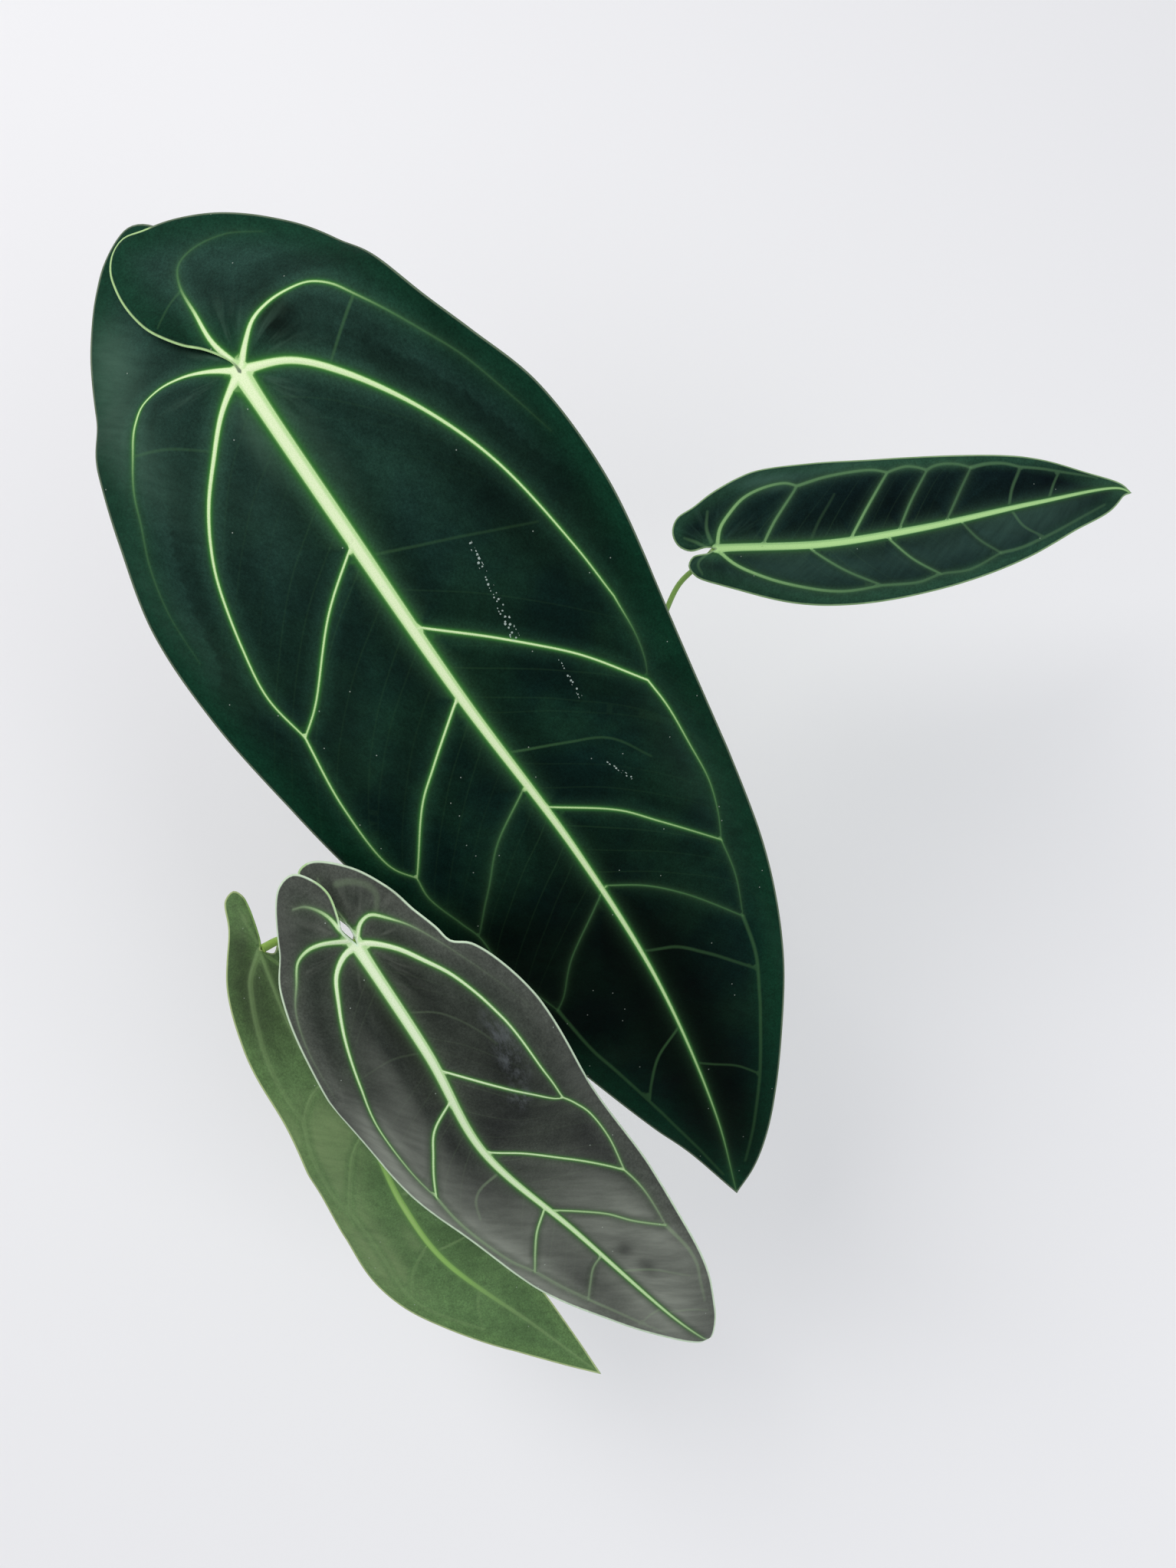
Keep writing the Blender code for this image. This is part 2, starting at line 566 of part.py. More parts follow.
def make_mix(collection, helpers):
    """The potting mix fills the pot, and the stem and its roots stand in holes through its surface."""
    radius = wall_radius(MIX_LEVEL) - POT_WALL - CLEARANCE
    floor = POT_FOOT_STEP + POT_FLOOR + CLEARANCE
    foot = wall_radius(floor) - POT_WALL - CLEARANCE
    around = [2 * pi * i / POT_SIDES for i in range(POT_SIDES)]
    points = [Vector((radius * cos(a), radius * sin(a))) for a in around]
    rows = np.arange(-radius, radius, MIX_SPACING * ROW_HEIGHT)
    for row, y in enumerate(rows):
        for x in np.arange(-radius + (row % 2) * MIX_SPACING / 2, radius, MIX_SPACING):
            if Vector((x, y)).length < radius - 0.6 * MIX_SPACING:
                points.append(Vector((x, y)))
    edges = [(i, (i + 1) % POT_SIDES) for i in range(POT_SIDES)]
    made, _, faces, _, _, _ = geometry.delaunay_2d_cdt(points, edges, [], 1, 1e-6)
    mesh = bmesh.new()
    top = [mesh.verts.new((p.x, p.y, mix_height(p.x, p.y))) for p in made]
    for face in faces:
        mesh.faces.new([top[i] for i in face])
    rim = [edge for edge in mesh.edges if edge.is_boundary]
    skirt = bmesh.ops.extrude_edge_only(mesh, edges=rim)["geom"]
    lowered = [v for v in skirt if isinstance(v, bmesh.types.BMVert)]
    for vertex in lowered:
        outward = Vector((vertex.co.x, vertex.co.y)).normalized() * foot
        vertex.co = (outward.x, outward.y, floor)
    bmesh.ops.contextual_create(mesh, geom=[e for e in mesh.edges if e.is_boundary])
    bmesh.ops.recalc_face_normals(mesh, faces=mesh.faces)
    data = bpy.data.meshes.new("potting_mix")
    mesh.to_mesh(data)
    mesh.free()
    mix = bpy.data.objects.new("potting_mix", data)
    collection.objects.link(mix)
    cutter = stem_solid("stem_hole", CLEARANCE, helpers)
    take_into(helpers, cutter)
    cut(mix, cutter)
    return mix


def material(name, colour, roughness):
    made = bpy.data.materials.new(name)
    made.use_nodes = True
    shader = made.node_tree.nodes["Principled BSDF"]
    shader.inputs["Base Color"].default_value = (*colour, 1)
    shader.inputs["Roughness"].default_value = roughness
    shader.inputs["Metallic"].default_value = 0
    made.diffuse_color = (*colour, 1)
    return made


def clear_scene():
    for thing in list(bpy.data.objects):
        bpy.data.objects.remove(thing, do_unlink=True)


def main():
    clear_scene()
    plant = bpy.data.collections.new("queen_anthurium")
    helpers = bpy.data.collections.new("cutters")
    for collection in (plant, helpers):
        bpy.context.scene.collection.children.link(collection)
    blade_colours = {"large": (0.006, 0.03, 0.014), "side": (0.012, 0.045, 0.032),
                     "upper": (0.05, 0.055, 0.05), "lower": (0.06, 0.16, 0.05)}
    petiole_green = material("petiole_green", (0.16, 0.3, 0.05), 0.45)
    for leaf in LEAVES:
        sheet = BentSheet(leaf)
        blade = make_blade(leaf, sheet)
        blade.data.materials.append(material(f"leaf_{leaf.name}", blade_colours[leaf.name], 0.6))
        plant.objects.link(blade)
        bpy.context.view_layer.update()
        petiole = make_petiole(leaf, blade, sheet)
        petiole.data.materials.append(petiole_green)
        plant.objects.link(petiole)
    pot = make_pot(plant, helpers)
    pot.data.materials.append(material("pot_plastic", (0.025, 0.026, 0.028), 0.55))
    stem = make_stem(plant, helpers)
    stem.data.materials.append(material("stem_bark", (0.16, 0.12, 0.06), 0.8))
    mix = make_mix(plant, helpers)
    mix.data.materials.append(material("bark_mix", (0.09, 0.055, 0.03), 0.9))


main()
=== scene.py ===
"""A potted queen anthurium, seen from almost straight above: four hanging velvet leaves with pale veins.

Sizes in the leaves' drawings are millimetres, everything else is in metres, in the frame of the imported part.
"""

from dataclasses import dataclass
from math import cos, pi, radians, sin

import bmesh
import bpy
import numpy as np
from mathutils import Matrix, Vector, geometry, noise
from mathutils.bvhtree import BVHTree


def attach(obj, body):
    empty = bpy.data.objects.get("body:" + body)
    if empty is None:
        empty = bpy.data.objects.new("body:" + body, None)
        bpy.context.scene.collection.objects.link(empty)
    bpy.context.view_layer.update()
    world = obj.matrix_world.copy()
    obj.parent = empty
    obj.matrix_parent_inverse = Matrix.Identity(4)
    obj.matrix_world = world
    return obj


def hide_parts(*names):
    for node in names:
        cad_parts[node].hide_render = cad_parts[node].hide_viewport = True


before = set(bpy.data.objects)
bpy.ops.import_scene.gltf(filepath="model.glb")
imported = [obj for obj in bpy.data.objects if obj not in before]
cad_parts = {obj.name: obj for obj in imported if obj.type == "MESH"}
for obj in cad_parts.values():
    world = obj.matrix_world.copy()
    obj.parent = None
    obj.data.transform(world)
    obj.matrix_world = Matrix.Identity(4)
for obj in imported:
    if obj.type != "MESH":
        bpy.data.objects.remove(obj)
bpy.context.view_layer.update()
MM = 0.001

# The photographer's eye. It hangs an arm's length over the pot and looks down almost straight, so that the
# big leaf crosses the picture from the upper left to the lower right.
def add(name, data):
    """A new object in the scene."""
    thing = bpy.data.objects.new(name, data)
    bpy.context.scene.collection.objects.link(thing)
    return thing


eye = bpy.data.cameras.new("eye")
eye.lens = 27.04
eye.sensor_width = 36
eye.clip_start = 0.01
looks_down_by = 82
camera = add("eye", eye)
camera.location = (0.035, -0.077, 0.92)
camera.rotation_euler = (radians(90 - looks_down_by), 0, 0)
bpy.context.scene.camera = camera

# A plain pale floor and soft studio light from wide lamps overhead, so that shadows are faint and have no
# edge.
floor_mesh = bpy.data.meshes.new("floor")
floor_mesh.from_pydata([(-6, -6, 0), (6, -6, 0), (6, 6, 0), (-6, 6, 0)], [], [(0, 1, 2, 3)])
floor = add("floor", floor_mesh)
paper = bpy.data.materials.new("pale_floor")
paper.use_nodes = True
paper.node_tree.nodes["Principled BSDF"].inputs["Base Color"].default_value = (0.84, 0.83, 0.84, 1)
paper.node_tree.nodes["Principled BSDF"].inputs["Roughness"].default_value = 0.9
floor.data.materials.append(paper)

world = bpy.data.worlds.new("studio")
bpy.context.scene.world = world
world.use_nodes = True
world.node_tree.nodes["Background"].inputs["Color"].default_value = (0.93, 0.95, 1, 1)
world.node_tree.nodes["Background"].inputs["Strength"].default_value = 0.62
bpy.context.scene.view_settings.view_transform = "Standard"


def hang_lamp(name, place, aim, size, watts, colour):
    lamp = bpy.data.lights.new(name, "AREA")
    lamp.shape = "DISK"
    lamp.size = size
    lamp.energy = watts
    lamp.color = colour
    thing = add(name, lamp)
    thing.location = place
    thing.rotation_mode = "QUATERNION"
    thing.rotation_quaternion = (Vector(aim) - Vector(place)).to_track_quat("-Z", "Y")


hang_lamp("key_lamp", (-1.1, 0.9, 2.1), (0.05, 0, 0.2), 1.6, 26, (1, 0.99, 0.97))
hang_lamp("fill_lamp", (1.4, -1.0, 1.9), (0, 0, 0.2), 1.6, 14, (0.96, 1, 0.98))


# The main leaf: a hanging heart-shaped blade of dark green velvet with a pale midrib, curved main veins
# that start where the stalk meets it, and a lobe on the right that lies over the left one. It grew as one
# thin sheet.
@dataclass
class Half:
    """One half of a blade: its margin from the joint to the tip, its strong and its weak veins, its angles of
    rise at the midrib and of fall at the reference half width, both again for its lobe, and the lobe's lift.
    A vein is its half widths and its palenesses at even distances along it, and its points."""

    margin: list
    strong: list
    weak: list
    rise: tuple
    fall: tuple
    lobe: tuple
    lift: float = 0


@dataclass
class Blade:
    """A leaf blade. Its light and shade patches are painted light: painted sheen where its velvet is lighter
    and painted shade where it is darker, each given as place, size and amount. Flare widens the veins at the
    joint, rib is the midrib's thickness and relief how much the tissue swells. Spacing is that of the mesh and
    feather that of the faint cross veins."""

    name: str
    spine: list
    roll: tuple
    half_width: float
    left: Half
    right: Half
    midrib: tuple
    light_and_shade_patches: list
    flare: float
    rib: float
    relief: float
    spacing: float
    feather: float
    seed: int


def smoothstep(x):
    x = np.clip(x, 0, 1)
    return x * x * (3 - 2 * x)


def norms(vectors):
    return np.linalg.norm(vectors, axis=1)


def through(points, spacing):
    """A centripetal Catmull-Rom curve through the points, cut into lengths near the spacing."""
    p = np.asarray(points, float)
    p = np.vstack([2 * p[0] - p[1], p, 2 * p[-1] - p[-2]])
    found = [p[1]]
    for a, b, c, d in zip(p, p[1:], p[2:], p[3:]):
        t0 = 0
        t1 = t0 + np.linalg.norm(b - a) ** 0.5
        t2 = t1 + np.linalg.norm(c - b) ** 0.5
        t3 = t2 + np.linalg.norm(d - c) ** 0.5
        pieces = max(1, round(np.linalg.norm(c - b) / spacing))
        for t in np.linspace(t1, t2, pieces + 1)[1:]:
            ab = ((t1 - t) * a + (t - t0) * b) / (t1 - t0)
            bc = ((t2 - t) * b + (t - t1) * c) / (t2 - t1)
            cd = ((t3 - t) * c + (t - t2) * d) / (t3 - t2)
            abc = ((t2 - t) * ab + (t - t0) * bc) / (t2 - t0)
            bcd = ((t3 - t) * bc + (t - t1) * cd) / (t3 - t1)
            found.append(((t2 - t) * abc + (t - t1) * bcd) / (t2 - t1))
    return np.array(found)


class Drape:
    """The arched surface that a blade's flat drawing is laid over."""

    def __init__(self, blade):
        self.blade = blade
        self.curve = through(blade.spine, 2)
        steps = norms(np.diff(self.curve, axis=0))
        joint = np.argmin(norms(self.curve - blade.spine[1]))
        self.along = np.concatenate([[0], np.cumsum(steps)])
        self.along -= self.along[joint]
        self.length = self.along[-1]
        self.forward = np.gradient(self.curve, self.along, axis=0)
        self.forward /= norms(self.forward)[:, None]
        level = np.cross(self.forward, (0, 0, 1))
        level /= norms(level)[:, None]
        upright = np.cross(level, self.forward)
        roll = np.radians(self.blend(blade.roll, self.along))[:, None]
        self.across = level * np.cos(roll) + upright * np.sin(roll)
        self.up = upright * np.cos(roll) - level * np.sin(roll)

    def blend(self, values, along):
        """Values given at the base, the middle and the tip."""
        return np.interp(along / self.length, (0, 0.5, 1), values)

    def read(self, table, along):
        return np.stack([np.interp(along, self.along, column) for column in table.T], -1)

    def lay(self, flat, side):
        """The places of flat points. Side is 1 on the left half and -1 on the right one."""
        half = self.blade.left if side > 0 else self.blade.right
        width = self.blade.half_width
        along, out = flat[:, 0], flat[:, 1] * side
        on_lobe = smoothstep(-along / (0.3 * width))
        rise = np.radians(self.blend(half.rise, along) * (1 - on_lobe) + half.lobe[0] * on_lobe)
        fall = np.radians(self.blend(half.fall, along) * (1 - on_lobe) + half.lobe[1] * on_lobe)
        bend = (rise + fall) / width
        reach = np.where(out > 0, (np.sin(rise) - np.sin(rise - bend * out)) / bend, out * np.cos(rise))
        height = np.where(out > 0, (np.cos(rise - bend * out) - np.cos(rise)) / bend, out * np.sin(rise))
        height += half.lift * smoothstep(-along / (0.2 * width)) * smoothstep((0.65 - out / width) / 0.4)
        past_end = np.minimum(along - self.along[0], 0)
        return (self.read(self.curve, along) + self.read(self.forward, along) * past_end[:, None]
                + self.read(self.across, along) * (side * reach)[:, None]
                + self.read(self.up, along) * height[:, None])


def within(points, loop):
    """Which flat points lie inside a closed loop of flat points."""
    hits = np.zeros(len(points), int)
    for (ax, ay), (bx, by) in zip(loop, np.roll(loop, -1, axis=0)):
        spans = (ay > points[:, 1]) != (by > points[:, 1])
        if spans.any():
            x = ax + (points[spans, 1] - ay) / (by - ay) * (bx - ax)
            hits[spans] += x > points[spans, 0]
    return hits % 2 == 1


def nearest_on(points, path):
    """For each point, its distance to a path of flat points and the share of the path that lies before it."""
    starts, steps = path[:-1], np.diff(path, axis=0)
    lengths = norms(steps)
    runs = np.concatenate([[0], np.cumsum(lengths)])
    best = np.full(len(points), 1e9)
    place = np.zeros(len(points))
    for start, step, length, run in zip(starts, steps, lengths, runs):
        share = np.clip(((points - start) @ step) / max(length * length, 1e-12), 0, 1)
        gap = norms(points - start - share[:, None] * step)
        closer = gap < best
        best[closer] = gap[closer]
        place[closer] = (run + share[closer] * length) / runs[-1]
    return best, place


def feathering(half, side, spine_length, spread, dice):
    """Faint cross veins that leave the midrib between the main ones and run out to the margin beside them."""
    margin = through(half.margin, 4)
    margin = margin[margin[:, 0] > 0]
    main_starts = [vein[-1][0][0] for vein in [*half.strong, *half.weak] if vein[-1][0][1] == 0]
    lines = []
    start = 12.0
    while start < 0.9 * spine_length:
        width = np.interp(start, margin[:, 0], np.abs(margin[:, 1])) * 0.96
        lean = dice.uniform(0.9, 1.05)
        line = [(start, 0.6 * side)]
        for share in (0.35, 0.7, 1.0):
            x = start + lean * width * share ** 1.3
            edge = np.interp(min(x, spine_length), margin[:, 0], np.abs(margin[:, 1])) * 0.97
            line.append((x, side * min(width * share, edge)))
        clear = min(abs(start - other) for other in [*main_starts, -99]) > 0.45 * spread
        route = through(line, 3)
        clear = clear and all(nearest_on(route, through(vein[-1], 3))[0].min() > 4 for vein in half.weak)
        if line[-1][0] < 0.97 * spine_length and clear:
            lines.append(((0.2, 0.15), (dice.uniform(0.01, 0.06), 0.01), line))
        start += spread * dice.uniform(0.7, 1.3)
    return lines


class Cloud:
    """Flat points that keep a distance from each other."""

    def __init__(self, cell):
        self.places = []
        self.cells = {}
        self.cell = cell

    def add(self, x, y, least=0.0):
        """The index of a new point, or of the nearest one if that is closer than least."""
        column, row = int(x // self.cell), int(y // self.cell)
        near = [i for c in (column - 1, column, column + 1) for r in (row - 1, row, row + 1)
                for i in self.cells.get((c, r), ())]
        gaps = [(self.places[i][0] - x) ** 2 + (self.places[i][1] - y) ** 2 for i in near]
        if gaps and min(gaps) < least * least:
            return near[gaps.index(min(gaps))]
        self.places.append((float(x), float(y)))
        self.cells.setdefault((column, row), []).append(len(self.places) - 1)
        return len(self.places) - 1


def flat_half(blade, half, side, length, weak):
    """One half of a blade, flat: its points and triangles. Every vein is a line of the mesh."""
    spacing = blade.spacing
    stations = np.linspace(0, length, round(length / spacing) + 1)
    margin = through([(0, 0), *half.margin, (length, 0)], spacing)
    loop = np.vstack([np.column_stack([stations, 0 * stations]), margin[-2:0:-1]])
    cloud = Cloud(spacing)
    for x, y in loop:
        cloud.add(x, y)
    edges = [(i, (i + 1) % len(loop)) for i in range(len(loop))]
    for vein in [*half.strong, *weak]:
        route = through(vein[-1], 0.8 * spacing)
        keep = within(route, loop) | (nearest_on(route, loop)[0] < 0.3 * spacing)
        path = [cloud.add(x, y, 0.35 * spacing) for x, y in route[keep]]
        edges += [(a, b) for a, b in zip(path, path[1:]) if a != b]
    # Rows beside the midrib and the strong veins, so that their rounded sides are smooth.
    beside = [np.column_stack([stations[1:-1], np.full(len(stations) - 2, side * away * spacing)])
              for away in (0.5, 1, 1.6)]
    for vein in half.strong:
        route = through(vein[-1], spacing)
        way = np.gradient(route, axis=0)
        way /= norms(way)[:, None]
        for away in (0.62, -0.62):
            beside.append(route + np.column_stack([-way[:, 1], way[:, 0]]) * away * spacing)
    low, high = loop.min(axis=0), loop.max(axis=0)
    rows = np.arange(low[1], high[1], spacing * 0.87)
    grid = [(x, y) for row, y in enumerate(rows)
            for x in np.arange(low[0] + (row % 2) * spacing / 2, high[0], spacing)]
    for group, least in ((np.vstack(beside), 0.4), (np.array(grid), 0.62)):
        for x, y in group[within(group, loop)]:
            cloud.add(x, y, least * spacing)
    made, _, faces, _, _, _ = geometry.delaunay_2d_cdt([Vector(p) for p in cloud.places], edges, [], 1, 1e-3)
    return np.array([tuple(p) for p in made]), faces


def vein_fields(points, veins, flare):
    """At each point, the distance past the side of the vein that shows most there, its paleness and its half
    width. Flare is how much wider a vein is at the joint."""
    past = np.full(len(points), 60.0)
    pale = np.zeros(len(points))
    wide = np.ones(len(points))
    shown = np.zeros(len(points))
    at_joint = flare * np.exp(-norms(points) / (6 * flare + 0.01))
    for widths, palenesses, route in veins:
        gap, place = nearest_on(points, through(route, 1.5))
        width = np.interp(place, np.linspace(0, 1, len(widths)), widths) + at_joint
        paleness = np.interp(place, np.linspace(0, 1, len(palenesses)), palenesses)
        strength = (paleness + 0.05) * np.exp((width - gap) / 2)
        better = strength > shown
        for field, values in ((past, gap - width), (pale, paleness), (wide, width), (shown, strength)):
            field[better] = values[better]
    return past, pale, wide


def keep(mesh, name, values):
    """Store a number, or three, at each point of a mesh."""
    values = np.asarray(values, "f")
    kind, label = ("FLOAT", "value") if values.ndim == 1 else ("FLOAT_VECTOR", "vector")
    mesh.attributes.new(name, kind, "POINT").data.foreach_set(label, values.ravel())


def grow_blade(blade):
    """The blade as a closed sheet with rounded ribs below, which carries what its finish reads."""
    dice = np.random.default_rng(blade.seed)
    drape = Drape(blade)
    corners, triangles, flats, crossed = [], [], [], []
    strong_field, weak_field, drawing = [], [], []
    shared = {}
    for side in (1, -1):
        half = blade.left if side > 0 else blade.right
        weak = half.weak + feathering(half, side, drape.length, blade.feather, dice)
        flat, faces = flat_half(blade, half, side, drape.length, weak)
        midrib = (*blade.midrib, [(0, 0), (0.5 * drape.length, 0), (drape.length, 0)])
        strong = vein_fields(flat, [midrib, *half.strong], blade.flare)
        faint = vein_fields(flat, weak, 0)
        rim, _ = nearest_on(flat, through([(0, 0), *half.margin, (drape.length, 0)], 2))
        places = drape.lay(flat, side)
        number = []
        for i, (x, y) in enumerate(flat):
            key = round(float(x), 2) if abs(y) < 1e-3 and x > -1e-3 else None
            if key in shared:
                number.append(shared[key])
                continue
            number.append(len(corners))
            corners.append(places[i])
            flats.append((x, y))
            strong_field.append([field[i] for field in strong])
            weak_field.append([field[i] for field in faint])
            drawing.append((x, y, rim[i]))
            crossed.append(float(np.clip(-y * side, 0, 1)))
            if key is not None:
                shared[key] = number[-1]
        triangles += [[number[i] for i in face] for face in faces]
    flats, strong_field, weak_field = np.array(flats), np.array(strong_field), np.array(weak_field)
    drawing = np.array(drawing)
    data = bpy.data.meshes.new(f"{blade.name}_leaf")
    data.from_pydata(np.array(corners) * MM, [], triangles)
    data.update()
    beside_midrib = int(norms(flats - (60, 8)).argmin())
    if data.vertices[beside_midrib].normal.dot(Vector(drape.read(drape.up, 60))) < 0:
        data.flip_normals()
    # The soft tissue swells between the veins, most of all around the joint, and ripples a little.
    normals = np.zeros(len(corners) * 3)
    data.vertices.foreach_get("normal", normals)
    past = strong_field[:, 0].clip(0)
    swell = 0.7 + 1.4 * np.exp(-norms(flats) / 30)
    swell *= (1 - np.exp(-past / 6)) * np.clip(past / 3, 0, 1)
    ripple = np.array([noise.noise(Vector((x / 24, y / 15, blade.seed))) for x, y in flats])
    raised = (swell + ripple * smoothstep(past / 15)) * smoothstep(drawing[:, 2] / 6 + 0.15) * blade.relief
    places = np.array(corners) + normals.reshape(-1, 3) * raised[:, None]
    data.vertices.foreach_set("co", (places * MM).ravel())
    # Patches of painted sheen, with amounts above nought, and of painted shade, with amounts below nought.
    tone = sum(amount * np.exp(-((flats[:, 0] - x) / length) ** 2 - ((flats[:, 1] - y) / width) ** 2)
               for x, y, length, width, amount in blade.light_and_shade_patches)
    for name, values in (("strong", strong_field), ("weak", weak_field), ("drawing", drawing),
                         ("crossed", crossed), ("tone", tone)):
        keep(data, name, values)
    data.shade_smooth()
    leaf = add(f"{blade.name}_leaf", data)
    ribs = leaf.vertex_groups.new(name="ribs")
    body = np.round(np.exp(-(past / 1.4) ** 2) * np.clip(strong_field[:, 2] / blade.midrib[0][0], 0, 1), 2)
    for level in np.unique(body):
        ribs.add(np.nonzero(body == level)[0].tolist(), float(level), "REPLACE")
    thinnest = 0.6
    thicken = leaf.modifiers.new("thickness", "SOLIDIFY")
    thicken.thickness = blade.rib * MM
    thicken.offset = -0.85
    thicken.vertex_group = "ribs"
    thicken.thickness_vertex_group = thinnest / blade.rib
    thicken.material_offset = 1
    thicken.material_offset_rim = 1
    return leaf, drape


class Amount:
    """A number that differs from point to point of a surface. Arithmetic with it adds nodes to its finish."""

    def __init__(self, finish, socket):
        self.finish = finish
        self.socket = socket

    def __add__(self, other):
        return self.finish.work("ADD", self, other)

    def __sub__(self, other):
        return self.finish.work("SUBTRACT", self, other)

    def __rsub__(self, other):
        return self.finish.work("SUBTRACT", other, self)

    def __mul__(self, other):
        return self.finish.work("MULTIPLY", self, other)

    def __truediv__(self, other):
        return self.finish.work("DIVIDE", self, other)


class Nodes:
    """A tree of nodes that is built up node by node."""

    def __init__(self, tree):
        self.tree = tree

    def put(self, socket, value):
        """Link a socket to another one, or set its value."""
        value = value.socket if isinstance(value, Amount) else value
        if isinstance(value, bpy.types.NodeSocket):
            self.tree.links.new(value, socket)
        else:
            socket.default_value = (*value, 1) if socket.type == "RGBA" else value

    def node(self, kind, inputs=(), **settings):
        """The outputs of a new node."""
        made = self.tree.nodes.new(kind)
        for name, value in settings.items():
            setattr(made, name, value)
        for name, value in dict(inputs).items():
            self.put(made.inputs[name], value)
        return made.outputs


class Finish(Nodes):
    """The nodes of a material."""

    def __init__(self, name):
        self.material = bpy.data.materials.new(name)
        self.material.use_nodes = True
        super().__init__(self.material.node_tree)
        self.shader = self.tree.nodes["Principled BSDF"].inputs

    def work(self, operation, first, second=0):
        return Amount(self, self.node("ShaderNodeMath", {0: first, 1: second}, operation=operation)[0])

    def vector(self, x, y, z=0):
        return self.node("ShaderNodeCombineXYZ", {0: x, 1: y, 2: z})[0]

    def vectors(self, operation, first, second=(0, 0, 0), scale=1):
        """The vector, or the amount, that an operation with vectors gives."""
        made = self.node("ShaderNodeVectorMath", {0: first, 1: second, 3: scale}, operation=operation)
        return Amount(self, made["Value"]) if operation in ("LENGTH", "DISTANCE", "DOT_PRODUCT") else made[0]

    def parts(self, vector):
        return [Amount(self, part) for part in self.node("ShaderNodeSeparateXYZ", {0: vector})]

    def stored(self, name):
        """What the mesh keeps at its points under this name."""
        return self.node("ShaderNodeAttribute", attribute_name=name)

    def place(self):
        return self.node("ShaderNodeTexCoord")["Object"]

    def stretch(self, where, scale):
        return self.node("ShaderNodeMapping", {"Vector": where, "Scale": scale})[0]

    def noise(self, where, scale, detail, roughness):
        inputs = {"Vector": where, "Scale": scale, "Detail": detail, "Roughness": roughness}
        return Amount(self, self.node("ShaderNodeTexNoise", inputs)["Fac"])

    def cells(self, where, scale, loose=1, kind="3D"):
        """The distance from the middle of the nearest cell, and two numbers drawn for each cell."""
        made = self.node("ShaderNodeTexVoronoi", {"Vector": where, "Scale": scale, "Randomness": loose},
                         voronoi_dimensions=kind)
        drawn = self.node("ShaderNodeSeparateColor", {"Color": made["Color"]})
        return [Amount(self, socket) for socket in (made["Distance"], drawn["Red"], drawn["Green"])]

    def ramp(self, value, low, high, at_low=0, at_high=1):
        """A smooth step from one amount to another as value goes from low to high."""
        inputs = {"Value": value, "From Min": low, "From Max": high, "To Min": at_low, "To Max": at_high}
        return Amount(self, self.node("ShaderNodeMapRange", inputs, interpolation_type="SMOOTHSTEP")[0])

    def paint(self, colour, *layers):
        """A colour with others laid over it in turn, each by its share. A mixing node takes its colours in
        its seventh and its eighth input."""
        for share, over in layers:
            colour = self.node("ShaderNodeMix", {0: share, 6: colour, 7: over}, data_type="RGBA")[2]
        return colour

    def coat(self, colour, roughness, height, depth, gloss=0.5):
        """The finished material. Depth is the relief's, in millimetres."""
        bump = self.node("ShaderNodeBump", {"Height": height, "Strength": 1, "Distance": depth * MM})[0]
        for name, value in (("Base Color", colour), ("Roughness", roughness), ("Normal", bump),
                            ("Specular IOR Level", gloss)):
            self.put(self.shader[name], value)
        return self.material


@dataclass
class Colours:
    """The colours of a blade's upper face: its tissue, its veins from dim glow to pale middle, its weak veins,
    its rim, the colour of the painted sheen on its velvet and the film that dried water leaves."""

    deep: tuple
    green: tuple
    near_joint: tuple
    margin: tuple
    veins: tuple
    dim: tuple
    edge: tuple
    painted_sheen_colour: tuple
    film: tuple


